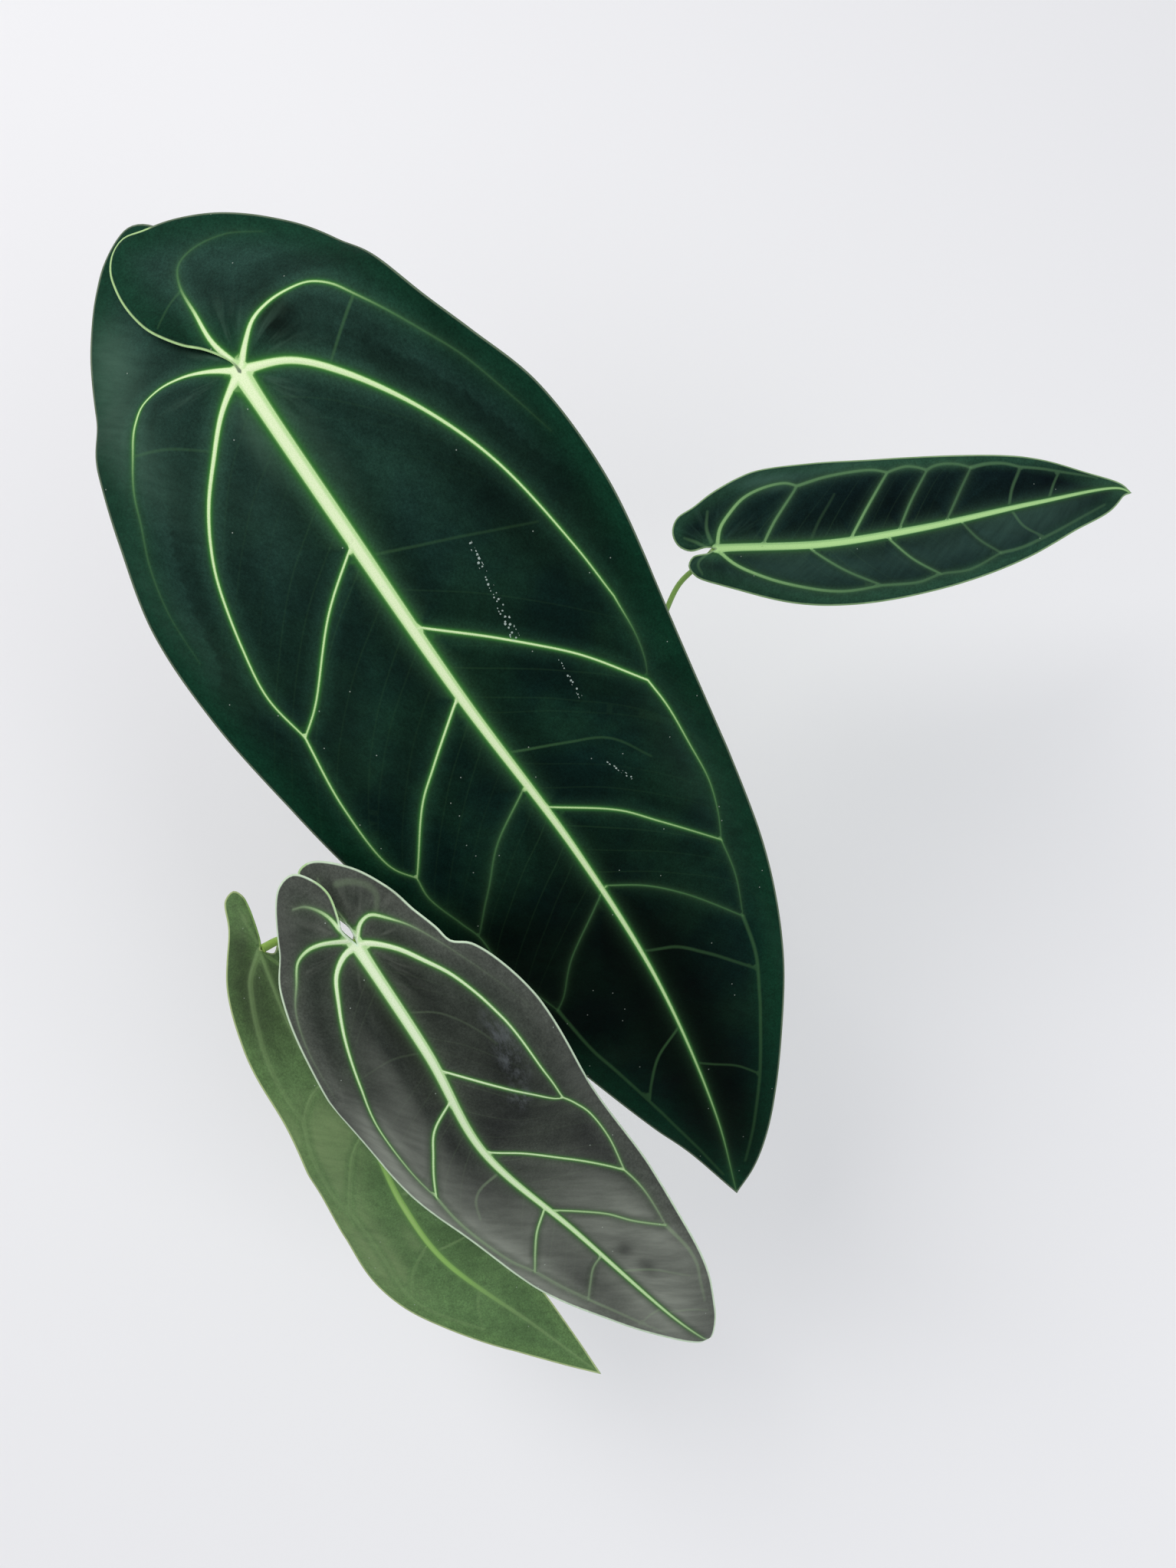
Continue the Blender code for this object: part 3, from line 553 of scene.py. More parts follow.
def velvet(name, colours, drips=(), films=(), zone=24, fold_sheen_strength=0.4, bloom=1, sheen=0.004, gloss=0.02):
    """The upper face: dark velvet with pale veins that glow through beside them. Zone is how far the margin's
    colour reaches, fold_sheen_strength how strong the painted sheen on the silky folds is and bloom how strong
    the broad glow and the darker hollow beside the veins are."""
    finish = Finish(name)
    past, pale, wide = finish.parts(finish.stored("strong")["Vector"])
    faint_past, faint_pale, faint_wide = finish.parts(finish.stored("weak")["Vector"])
    along, across, rim = finish.parts(finish.stored("drawing")["Vector"])
    tone = Amount(finish, finish.stored("tone")["Fac"])
    plane = finish.vector(along, across)
    mottle = finish.noise(plane, 0.022, 3, 0.55)
    fine = finish.noise(plane, 2.1, 2, 0.7)
    cloud = finish.noise(plane, 0.2, 5, 0.62)
    nap = finish.noise(plane, 0.85, 2, 0.6) * 1.1 + 0.45
    # Low ridges run slantwise over the whole blade. They are a bump, and they also paint light and shade into
    # the tissue's colour.
    slanted = finish.node("ShaderNodeMapping", {"Vector": plane, "Rotation": (0, 0, radians(39))})[0]
    ridges = finish.noise(finish.stretch(slanted, (0.05, 0.24, 1)), 1, 5, 0.6)
    tissue = finish.paint(colours.deep, (finish.ramp(mottle, 0.36, 0.66), colours.green),
                          (finish.ramp(along, 170, -40, 0, 0.95), colours.near_joint),
                          (finish.ramp(rim, zone, 2, 0, 0.8), colours.margin))
    # The tissue is darkest a little way off the pale veins.
    hollow = finish.ramp(past, 3, 8) * finish.ramp(past, 26, 12) * finish.ramp(pale, 0.2, 0.9)
    shade = (cloud * 0.9 + ridges * 0.5 + 0.3) * (fine + 0.5) * nap * (1 - hollow * (0.35 * bloom))
    # Patches of painted shade darken the tissue where their amount is below nought.
    tissue = finish.vectors("SCALE", tissue, scale=shade * finish.ramp(tone, 0, -1, 1, 0.25))
    # Painted sheen on the velvet where the patches are lighter, broken by the ridges, and painted sheen on
    # silky folds that run out from the joint.
    painted_sheen = finish.ramp(tone, 0, 1) * finish.ramp(ridges, 0.25, 0.75, 0.7, 1.1)
    painted_sheen = painted_sheen * finish.ramp(past, 0.5, 4, 0.45)
    radius = finish.vectors("LENGTH", plane)
    fold_sheen = finish.vector(finish.work("ARCTAN2", across, along) * 3.2, radius * 0.02)
    fold_sheen = finish.ramp(finish.noise(fold_sheen, 1, 3, 0.6), 0.5, 0.7) * finish.ramp(radius, 44, 12)
    fold_sheen = fold_sheen * finish.ramp(past, 1.5, 5, 0, fold_sheen_strength)
    # A weak vein is a dim line. A strong one has a pale middle with a sharp side, a soft glow around it and a
    # broad dim one beyond.
    ragged = fine * 0.8 - 0.4
    line = finish.ramp((faint_past + ragged) / faint_wide, 2, -0.6)
    beside = finish.work("MAXIMUM", past + ragged * 0.7, 0)
    halo, far, near = [finish.work("EXPONENT", beside / (wide * -share - least))
                       for share, least in ((0.4, 2), (0.25, 0.75), (0.05, 0.15))]
    halo = halo * pale * (wide * 0.1 + 0.12) * nap * bloom
    tissue = finish.paint(tissue, (painted_sheen, colours.painted_sheen_colour), (fold_sheen, colours.painted_sheen_colour),
                          (line * faint_pale, colours.dim), (halo, colours.dim))
    # The midrib's side towards the right half is painted in shade, which dims its glow there.
    shaded = finish.ramp(across, 0.6, -1.4) * finish.ramp(across, -4.4, -3, 0, 0.3)
    glow = (far * 0.45 + near * 0.55) * finish.ramp((past + ragged) / wide + shaded, 0.1, -0.5, 0.78)
    glow = glow * pale * finish.ramp(fine, 0.25, 0.75, 0.86, 1.05)
    vein = finish.node("ShaderNodeValToRGB", {"Fac": glow})["Color"]
    stops = vein.node.color_ramp.elements
    stops[0].position = 0.17
    stops.new(0.4)
    stops.new(0.75)
    for stop, colour in zip(stops, colours.veins):
        stop.color = (*colour, 1)
    bright = finish.paint(tissue, (finish.ramp(glow, 0, 0.2), vein))
    dull = finish.paint(tissue, (glow, colours.dim))
    tissue = finish.paint(dull, (finish.ramp(pale, 0.4, 0.9), bright))
    # Specks of dust, films of dried water, and the rows of small white spots that drops left where they ran.
    away, drawn, _ = finish.cells(plane, 0.14, kind="2D")
    speck = finish.ramp(away, 0.05, 0.02) * finish.work("GREATER_THAN", drawn, 0.96)
    marks = [(speck * 0.5, (0.5, 0.56, 0.5))]
    smear = finish.ramp(finish.noise(finish.stretch(plane, (0.12, 0.22, 1)), 1, 6, 0.75), 0.42, 0.66)
    for x, y, length, width in films:
        away = finish.stretch(finish.vectors("SUBTRACT", plane, (x, y, 0)), (1 / length, 1 / width, 0))
        marks.append((finish.ramp(finish.vectors("LENGTH", away), 1, 0.3) * smear * 0.35, colours.film))
    away, drawn, size = finish.cells(plane, 0.66, 0.95, "2D")
    bead = finish.ramp(away - (size * 0.3 + 0.1), 0.06, -0.04) * finish.work("GREATER_THAN", drawn, 0.35)
    for start, end, spread in drips:
        run = Vector(end) - Vector(start)
        away = finish.vectors("SUBTRACT", plane, (*start, 0))
        share = finish.vectors("DOT_PRODUCT", away, (*(run / run.length_squared), 0))
        share = finish.work("MINIMUM", finish.work("MAXIMUM", share, 0), 1)
        gap = finish.vectors("DISTANCE", away, finish.vectors("SCALE", (*run, 0), scale=share))
        inside = finish.work("LESS_THAN", gap, (share * 0.6 + 0.4) * spread)
        marks.append((bead * inside * 0.75, (0.42, 0.5, 0.46)))
    edge = finish.paint(colours.edge, (Amount(finish, finish.stored("crossed")["Fac"]), colours.veins[2]))
    tissue = finish.paint(tissue, *marks, (finish.ramp(rim, 1.2, 0.5), edge))
    finish.shader["Sheen Weight"].default_value = sheen
    finish.shader["Sheen Roughness"].default_value = 0.4
    finish.shader["Sheen Tint"].default_value = (0.7, 0.85, 0.75, 1)
    height = finish.ramp(past, 0.4, -1.6) + fine * 0.15 + ridges * 0.5
    return finish.coat(tissue, cloud * 0.2 + 0.5, height, 0.35, gloss)


def underside(name, tissue, rib_colour):
    """The paler matt lower face, on which the veins stand out as ribs."""
    finish = Finish(name)
    past, pale, _ = finish.parts(finish.stored("strong")["Vector"])
    faint_past, _, _ = finish.parts(finish.stored("weak")["Vector"])
    along, across, _ = finish.parts(finish.stored("drawing")["Vector"])
    plane = finish.vector(along, across)
    cloud = finish.noise(plane, 0.3, 3, 0.6)
    fine = finish.noise(plane, 2.5, 2, 0.6)
    line = finish.ramp(faint_past, 0.5, -0.1, 0, 0.35)
    rib = finish.ramp(past, 1.1, -0.3) * finish.ramp(pale, 0, 0.5, 0.3)
    shares = (finish.ramp(cloud, 0.3, 0.7, 0, 0.35), line, rib)
    tissue = finish.paint(tissue, *[(share, rib_colour) for share in shares])
    return finish.coat(tissue, 0.55, line * 0.5 + fine * 0.3, 0.3)


def dress(leaf, upper, lower, name):
    """The blade's two finishes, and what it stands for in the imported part."""
    leaf.data.materials.append(upper)
    leaf.data.materials.append(lower)
    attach(leaf, "root")
    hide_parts(f"blade_{name}")


main_blade = Blade(
    name="large",
    spine=[
        (-131, 196, 470), (-103, 150, 480), (-64, 93, 460), (-20, 31, 425), (29, -31, 375), (71, -94, 315),
        (106, -168, 250), (122, -218, 205)],
    roll=(-10, -8, -4), half_width=100,
    left=Half(
        margin=[
            (-8, -0.5), (-18, -1), (-40, -5), (-66, -5), (-90, 0), (-98, 10), (-92, 26), (-81, 37),
            (-65, 48), (-50, 56), (-28, 64), (-4, 71), (28, 82), (66, 94), (110, 96), (165, 91), (220, 86),
            (285, 79), (345, 68), (395, 53), (440, 36), (475, 20), (502, 8)],
        strong=[
            ((0.85, 0.65, 0.42, 0.32, 0.3), (1, 0.95, 0.9, 0.85, 0.8),
             [(0, 1), (10, 15), (23, 28), (36, 40), (49, 49), (63, 56), (90, 64), (113, 68), (135, 65)]),
            ((0.75, 0.5, 0.38, 0.32, 0.3, 0.25, 0.2), (1, 0.92, 0.82, 0.55, 0.32, 0.2, 0.08),
             [(-1, 1), (-9, 13), (-14, 22), (-17, 32), (-15, 41), (-8, 47), (2, 54), (15, 63), (28, 69),
              (42, 76), (62, 82), (86, 84)]),
            ((0.35, 0.3), (0.9, 0.8), [(78, 0), (97, 25), (126, 53), (135, 65)]),
            ((0.4, 0.28), (0.92, 0.7), [(155, 0), (175, 28), (186, 42), (215, 66)]),
            ((0.35, 0.28), (0.6, 0.25), [(207, 0), (223, 27), (241, 43), (263, 61)]),
            ((0.3, 0.25), (0.45, 0.25), [(277, 0), (303, 31), (324, 45), (331, 51)]),
            ((0.35, 0.28), (0.85, 0.65), [(135, 65), (169, 71), (203, 72), (215, 66)]),
            ((0.3, 0.25), (0.6, 0.2), [(215, 66), (228, 68), (251, 64), (263, 61), (289, 61), (331, 51)])],
        weak=[
            ((0.35, 0.3), (0.15, 0.1), [(4, 54), (10, 41), (20, 27)]),
            ((0.45, 0.4), (0.28, 0.2), [(378, 0), (390, 16), (407, 26), (420, 31)]),
            ((0.5, 0.45), (0.24, 0.1), [(331, 51), (358, 48), (387, 41), (420, 31), (462, 18), (500, 5)])],
        rise=(10, 8, 4), fall=(20, 18, 12), lobe=(0, 20), lift=-2.5),
    right=Half(
        margin=[
            (-5, 1), (-15, 7), (-23, 14), (-31, 19), (-42, 24), (-57, 27), (-69, 27), (-79, 25), (-86, 20),
            (-89, 13), (-86, 4), (-82, -7), (-75, -20), (-67, -31), (-57, -42), (-43, -54), (-24, -64),
            (-2, -72), (15, -78), (36, -87), (66, -99), (112, -104), (165, -99), (240, -87), (307, -78),
            (360, -65), (410, -48), (460, -30), (500, -13)],
        strong=[
            ((1.2, 1.1, 0.6, 0.4, 0.3, 0.25), (1, 0.95, 0.9, 0.88, 0.85, 0.75),
             [(0, -1), (9, -20), (24, -35), (51, -53), (84, -67), (129, -76), (158, -79)]),
            ((0.25, 0.2), (0.75, 0.2), [(158, -79), (180, -78), (193, -75), (201, -71)]),
            ((0.8, 0.5, 0.38, 0.32, 0.3, 0.25, 0.2), (1, 0.92, 0.78, 0.5, 0.3, 0.2, 0.06),
             [(-1, -1), (-8, -9), (-13, -16), (-15, -24), (-15, -33), (-13, -42), (-7, -49), (2, -55),
              (13, -62), (27, -70), (42, -78), (61, -85), (85, -93)]),
            ((0.85, 0.6, 0.4, 0.3, 0.25), (1, 0.9, 0.5, 0.28, 0.08),
             [(-3, 0), (-16, 3), (-33, 3), (-48, 3), (-56, 1), (-60, -2), (-62, -10), (-59, -24),
              (-50, -38)]),
            ((0.45, 0.32), (0.92, 0.88), [(120, 0), (144, -28), (169, -51), (201, -71)]),
            ((0.36, 0.28), (0.85, 0.65), [(222, 0), (244, -28), (259, -40), (287, -61)]),
            ((0.3, 0.25), (0.55, 0.4), [(274, 0), (286, -18), (301, -32), (331, -53)]),
            ((0.3, 0.22), (0.85, 0.4),
             [(201, -71), (216, -72), (237, -71), (257, -70), (274, -66), (287, -61)]),
            ((0.28, 0.22), (0.5, 0.25), [(287, -61), (308, -59), (331, -53)])],
        weak=[
            ((0.35, 0.3), (0.25, 0.2), [(2, -55), (10, -44), (18, -33)]),
            ((0.35, 0.3), (0.2, 0.1), [(-48, 3), (-44, 11), (-38, 19)]),
            ((0.35, 0.3), (0.3, 0.08), [(189, 0), (201, -26), (211, -42), (230, -53)]),
            ((0.5, 0.45), (0.2, 0.16), [(322, 0), (328, -16), (339, -28), (362, -48)]),
            ((0.45, 0.4), (0.18, 0.14), [(407, 0), (418, -19), (429, -30)]),
            ((0.35, 0.3), (0.15, 0.06), [(86, 0), (100, -38), (112, -68)]),
            ((0.5, 0.45), (0.26, 0.1),
             [(331, -53), (353, -51), (380, -44), (404, -37), (429, -30), (456, -21), (492, -9)])],
        rise=(10, 8, 4), fall=(20, 18, 12), lobe=(0, 20), lift=2.5),
    midrib=((2.9, 2.8, 2.0, 1.3, 0.7, 0.4, 0.2), (1, 1, 0.98, 0.94, 0.84, 0.7, 0.45)),
    light_and_shade_patches=[
        (24, 9, 22, 7, 0.4), (50, 26, 34, 14, 0.15), (42, -12, 34, 7, 0.25), (-10, 55, 46, 16, 0.5),
        (-48, 42, 22, 14, 0.45), (60, 82, 60, 12, 0.25), (-28, -52, 24, 12, 0.1), (150, 45, 60, 30, 0.12),
        (255, -66, 60, 26, 0.22), (360, -60, 60, 14, 0.3), (-8, -24, 14, 10, -0.9), (20, -52, 26, 9, -0.4),
        (-42, -8, 18, 10, -0.3), (95, -58, 50, 26, -0.5), (92, -90, 44, 9, -0.4), (30, -77, 30, 9, -0.4),
        (340, 5, 90, 50, -1.0), (300, 55, 60, 30, -0.9), (450, -5, 60, 26, -0.7)],
    flare=1.2, rib=4.2, relief=1, spacing=2.4, feather=13, seed=4)
large_leaf, large_drape = grow_blade(main_blade)
dark_velvet = Colours(
    deep=(0.0028, 0.0142, 0.0112), green=(0.006, 0.026, 0.0145), near_joint=(0.018, 0.05, 0.0375),
    margin=(0.004, 0.034, 0.016),
    veins=((0.03, 0.13, 0.028), (0.12, 0.29, 0.08), (0.47, 0.69, 0.31), (0.76, 0.85, 0.56)),
    dim=(0.095, 0.23, 0.085), edge=(0.15, 0.2, 0.13), painted_sheen_colour=(0.06, 0.12, 0.085), film=(0.14, 0.18, 0.18))
dress(large_leaf, velvet("velvet_deep_green", dark_velvet, drips=[((103, -40), (147, -34), 2.0),
                                                                  ((167, -44), (190, -42), 0.9),
                                                                  ((220, -35), (233, -40), 0.8)]),
      underside("leaf_back_green", (0.05, 0.13, 0.05), (0.2, 0.36, 0.1)), "large")

# The leaf at the right hangs lower and is younger: narrow, blue-black between broad soft green veins, with
# a row of cells along each margin and a thin light rim where the light comes through.
side_blade = Blade(
    name="side",
    spine=[
        (80, 146, 272), (107, 147, 280), (167, 148, 285), (223, 159, 280), (293, 178, 270), (351, 195, 250),
        (361, 194, 245)],
    roll=(-6, -6, 0), half_width=45,
    left=Half(
        margin=[
            (-4, 2), (-13, 3), (-16, 8), (-13, 14), (-5, 19), (13, 25), (44, 33), (87, 37), (143, 35),
            (178, 30), (208, 22), (242, 14)],
        strong=[
            ((0.8, 0.6), (0.8, 0.5), [(1, 1), (11, 10), (28, 18), (48, 24), (67, 28), (88, 28)]),
            ((0.6, 0.5), (0.6, 0.45), [(50, 0), (69, 16), (88, 28)]),
            ((0.6, 0.5), (0.65, 0.5), [(96, 0), (108, 16), (123, 28)]),
            ((0.6, 0.5), (0.4, 0.28), [(142, 0), (149, 13), (160, 24)]),
            ((0.6, 0.5), (0.5, 0.32), [(88, 28), (110, 30), (123, 28), (140, 29), (160, 24)])],
        weak=[
            ((0.5, 0.4), (0.4, 0.2), [(174, 0), (178, 12), (189, 21)]),
            ((0.5, 0.4), (0.4, 0.15), [(160, 24), (172, 24), (189, 21), (211, 16), (238, 10)]),
            ((0.5, 0.4), (0.5, 0.2), [(-3, 1), (-10, 8), (-8, 14)])],
        rise=(14, 10, 6), fall=(20, 16, 10), lobe=(6, 20)),
    right=Half(
        margin=[
            (-5, -1), (-14, 0), (-21, -4), (-24, -12), (-21, -20), (-10, -26), (12, -40), (24, -45),
            (60, -48), (106, -44), (152, -37), (202, -25), (237, -10)],
        strong=[
            ((0.8, 0.7), (0.8, 0.55),
             [(1, -1), (3, -11), (8, -19), (16, -28), (28, -34), (40, -36), (47, -34)]),
            ((0.7, 0.6), (0.65, 0.52), [(26, 0), (33, -14), (47, -34)]),
            ((0.7, 0.6), (0.72, 0.55), [(75, 0), (86, -14), (98, -27), (106, -35)]),
            ((0.6, 0.5), (0.58, 0.48), [(104, 0), (116, -17), (130, -32)]),
            ((0.6, 0.5), (0.5, 0.38), [(133, 0), (146, -16), (157, -28)]),
            ((0.8, 0.7), (0.56, 0.52), [(47, -34), (55, -36), (66, -38), (84, -39), (98, -38), (106, -35)]),
            ((0.7, 0.7), (0.52, 0.48), [(106, -35), (111, -36), (118, -36.5), (124, -35), (130, -32)]),
            ((0.7, 0.6), (0.48, 0.42), [(130, -32), (135, -33.5), (142, -33.5), (150, -31.5), (157, -28)])],
        weak=[
            ((0.5, 0.5), (0.4, 0.3), [(173, 0), (178, -11), (187, -22)]),
            ((0.5, 0.4), (0.4, 0.25), [(200, 0), (206, -8), (213, -15)]),
            ((0.5, 0.4), (0.15, 0.08), [(52, 0), (58, -12), (70, -27)]),
            ((0.6, 0.5), (0.5, 0.4), [(157, -28), (167, -28), (178, -26), (187, -22)]),
            ((0.5, 0.4), (0.4, 0.2), [(187, -22), (200, -19), (213, -15), (240, -7)]),
            ((0.6, 0.4), (0.6, 0.2), [(-1, -1), (-4, -11), (-3, -21)]),
            ((0.6, 0.4), (0.6, 0.2), [(-3, 0), (-11, -5), (-17, -8)])],
        rise=(14, 10, 6), fall=(20, 16, 10), lobe=(6, 20)),
    midrib=((2.0, 2.0, 1.8, 1.4, 0.9, 0.5), (1, 1, 1, 0.95, 0.9, 0.8)),
    light_and_shade_patches=[
        (110, 16, 90, 14, 0.35), (190, 6, 50, 14, 0.35), (-14, 8, 12, 12, 0.2), (100, -18, 80, 14, -0.5),
        (30, -36, 24, 7, 0.6), (76, -42, 34, 6, 0.35), (40, 10, 30, 10, 0.25)],
    flare=0.6, rib=2.8, relief=0.8, spacing=1.8, feather=9, seed=11)
side_leaf, side_drape = grow_blade(side_blade)
blue_velvet = Colours(
    deep=(0.003, 0.0085, 0.011), green=(0.005, 0.015, 0.015), near_joint=(0.006, 0.02, 0.018),
    margin=(0.022, 0.07, 0.04),
    veins=((0.025, 0.08, 0.028), (0.08, 0.19, 0.075), (0.3, 0.52, 0.21), (0.45, 0.69, 0.29)),
    dim=(0.11, 0.23, 0.105), edge=(0.26, 0.4, 0.2), painted_sheen_colour=(0.05, 0.11, 0.085), film=(0.08, 0.12, 0.12))
dress(side_leaf, velvet("velvet_blue_green", blue_velvet, zone=12, fold_sheen_strength=0.2),
      underside("side_back_green", (0.05, 0.15, 0.07), (0.2, 0.4, 0.15)), "side")

# The upper of the two leaves at the lower left: grey-brown velvet that catches the light, with bright veins
# and a pale margin. Its lobes cross with a slit beside the joint, and water has dried on it.
upper_blade = Blade(
    name="upper",
    spine=[
        (-88, -38, 410), (-64, -75, 410), (-35, -123, 390), (-13, -169, 360), (29, -211, 330),
        (76, -257, 303), (93, -273, 285), (99, -281, 262)],
    roll=(-6, -6, -4), half_width=55,
    left=Half(
        margin=[
            (-3, 0.5), (-8, 0.9), (-13, -1), (-24, -3), (-33, 0), (-40, 6), (-39, 14), (-23, 28), (5, 41),
            (35, 48), (72, 51), (105, 43), (140, 35), (193, 33), (235, 20), (267, 9), (290, 3)],
        strong=[
            ((0.9, 0.6, 0.4, 0.32, 0.28, 0.3), (1, 0.95, 0.9, 0.85, 0.75, 0.55),
             [(0, 1), (1, 7), (6, 14), (17, 20), (34, 27), (58, 33), (83, 36), (107, 33), (123, 30)]),
            ((0.8, 0.45, 0.3, 0.25, 0.2), (1, 0.8, 0.4, 0.2, 0.05),
             [(-3, 1), (-8, 11), (-9, 18), (-7, 25), (1, 31), (11, 38), (30, 44), (60, 47)]),
            ((0.7, 0.3), (1, 0.4), [(-5, 1), (-14, 2), (-19, 4), (-25, 9), (-27, 14)]),
            ((0.45, 0.3), (0.9, 0.8), [(85, 0), (96, 13), (108, 20), (123, 30)]),
            ((0.45, 0.4), (0.8, 0.6), [(164, 0), (169, 11), (176, 19), (185, 27)]),
            ((0.4, 0.4), (0.55, 0.4), [(205, 0), (206, 7), (211, 14), (216, 20)]),
            ((0.5, 0.7), (0.55, 0.3),
             [(123, 30), (138, 31), (155, 31), (172, 30), (185, 27), (201, 24), (216, 20)])],
        weak=[
            ((0.4, 0.3), (0.35, 0.15), [(133, 0), (132, 12), (135, 18), (143, 23)]),
            ((0.3, 0.25), (0.08, 0.04), [(58, 0), (52, 14), (54, 34)]),
            ((0.35, 0.3), (0.25, 0.1), [(250, 0), (247, 6), (246, 13)]),
            ((0.4, 0.3), (0.35, 0.1), [(216, 20), (233, 15), (262, 8)])],
        rise=(18, 14, 8), fall=(24, 24, 16), lobe=(0, 24), lift=6.5),
    right=Half(
        margin=[
            (-3, -0.6), (-8, -0.5), (-13, 1.2), (-22, 4.5), (-33, 7), (-41, 6), (-42, -1), (-30, -15),
            (-8, -27), (10, -34), (18, -36), (24, -43), (45, -52), (81, -59), (125, -59), (170, -52),
            (213, -42), (249, -31), (274, -17), (292, -5)],
        strong=[
            ((1.0, 0.8, 0.45, 0.32, 0.26, 0.25), (1, 0.95, 0.92, 0.9, 0.85, 0.8),
             [(0, -1), (3, -7), (10, -15), (20, -22), (30, -28), (43, -33), (57, -37), (68, -40), (83, -43),
              (97, -45), (117, -45)]),
            ((0.75, 0.32, 0.22, 0.2, 0.18), (1, 0.75, 0.22, 0.1, 0.03),
             [(-2, -1), (-7, -6), (-8, -11), (-4, -17), (3, -24), (15, -31), (40, -42), (60, -50)]),
            ((0.6, 0.3), (0.8, 0.2), [(-4, -1), (-16, 0), (-27, 1), (-34, 0)]),
            ((0.5, 0.3), (0.95, 0.85), [(68, 0), (78, -14), (88, -26), (99, -36), (117, -45)]),
            ((0.45, 0.3), (0.92, 0.75), [(119, 0), (131, -13), (152, -25), (171, -34), (180, -38)]),
            ((0.4, 0.35), (0.75, 0.6), [(167, 0), (178, -9), (189, -17), (202, -23), (217, -32)]),
            ((0.32, 0.25, 0.3), (0.85, 0.8, 0.65),
             [(117, -45), (131, -47), (145, -48), (163, -45), (180, -38)]),
            ((0.32, 0.35), (0.7, 0.4), [(180, -38), (188, -38), (197, -37), (206, -35), (217, -32)])],
        weak=[
            ((0.3, 0.25), (0.14, 0.05), [(36, 0), (42, -14), (50, -21), (66, -30)]),
            ((0.5, 0.4), (0.4, 0.15), [(217, -32), (235, -31), (245, -28), (253, -23), (264, -17)]),
            ((0.4, 0.3), (0.3, 0.1), [(218, 0), (228, -11), (246, -22)]),
            ((0.35, 0.3), (0.25, 0.1), [(254, 0), (262, -9), (271, -14)]),
            ((0.9, 0.7), (0.2, 0.12), [(-27, -6), (-25, -11), (-19, -17), (-13, -18), (-7, -14)])],
        rise=(18, 14, 8), fall=(24, 24, 16), lobe=(0, 24), lift=-1.5),
    midrib=((2.4, 2.2, 1.8, 1.25, 0.85, 0.45, 0.2), (1, 1, 0.95, 0.92, 0.85, 0.78, 0.55)),
    light_and_shade_patches=[
        (50, 20, 30, 9, 0.25), (100, 22, 34, 11, 0.4), (165, 14, 42, 14, 0.4), (190, -14, 48, 20, 0.55),
        (215, -28, 40, 8, 0.35), (248, -4, 36, 22, 0.5), (50, 46, 60, 6, 0.25), (120, -55, 70, 6, 0.2),
        (-22, 18, 16, 10, 0.2), (20, -14, 34, 9, -0.5), (80, -28, 36, 12, -0.5), (40, -23, 18, 5, 0.35),
        (-7, -15, 12, 6, 0.3), (48, 6, 46, 6, -0.75), (104, 38, 40, 8, 0.8), (165, 31, 40, 8, 0.8),
        (205, 26, 36, 8, 0.45), (262, 2, 34, 16, 0.35), (210, -10, 5, 4, -0.3), (226, -11, 6, 4, -0.35)],
    flare=0.9, rib=3.2, relief=0.9, spacing=1.8, feather=9, seed=23)
upper_leaf, upper_drape = grow_blade(upper_blade)
grey_velvet = Colours(
    deep=(0.0235, 0.0255, 0.024), green=(0.044, 0.05, 0.041), near_joint=(0.031, 0.039, 0.03),
    margin=(0.07, 0.077, 0.065),
    veins=((0.045, 0.12, 0.034), (0.13, 0.28, 0.085), (0.45, 0.66, 0.32), (0.74, 0.83, 0.6)),
    dim=(0.25, 0.35, 0.2), edge=(0.62, 0.76, 0.56), painted_sheen_colour=(0.21, 0.225, 0.19), film=(0.15, 0.165, 0.18))
dress(upper_leaf, velvet("velvet_grey", grey_velvet, films=[(70, -33, 26, 9), (95, -29, 12, 7)], zone=16,
                         fold_sheen_strength=0.2, bloom=0.45, sheen=0.02, gloss=0.06),
      underside("upper_back_green", (0.08, 0.13, 0.07), (0.24, 0.4, 0.16)), "upper")

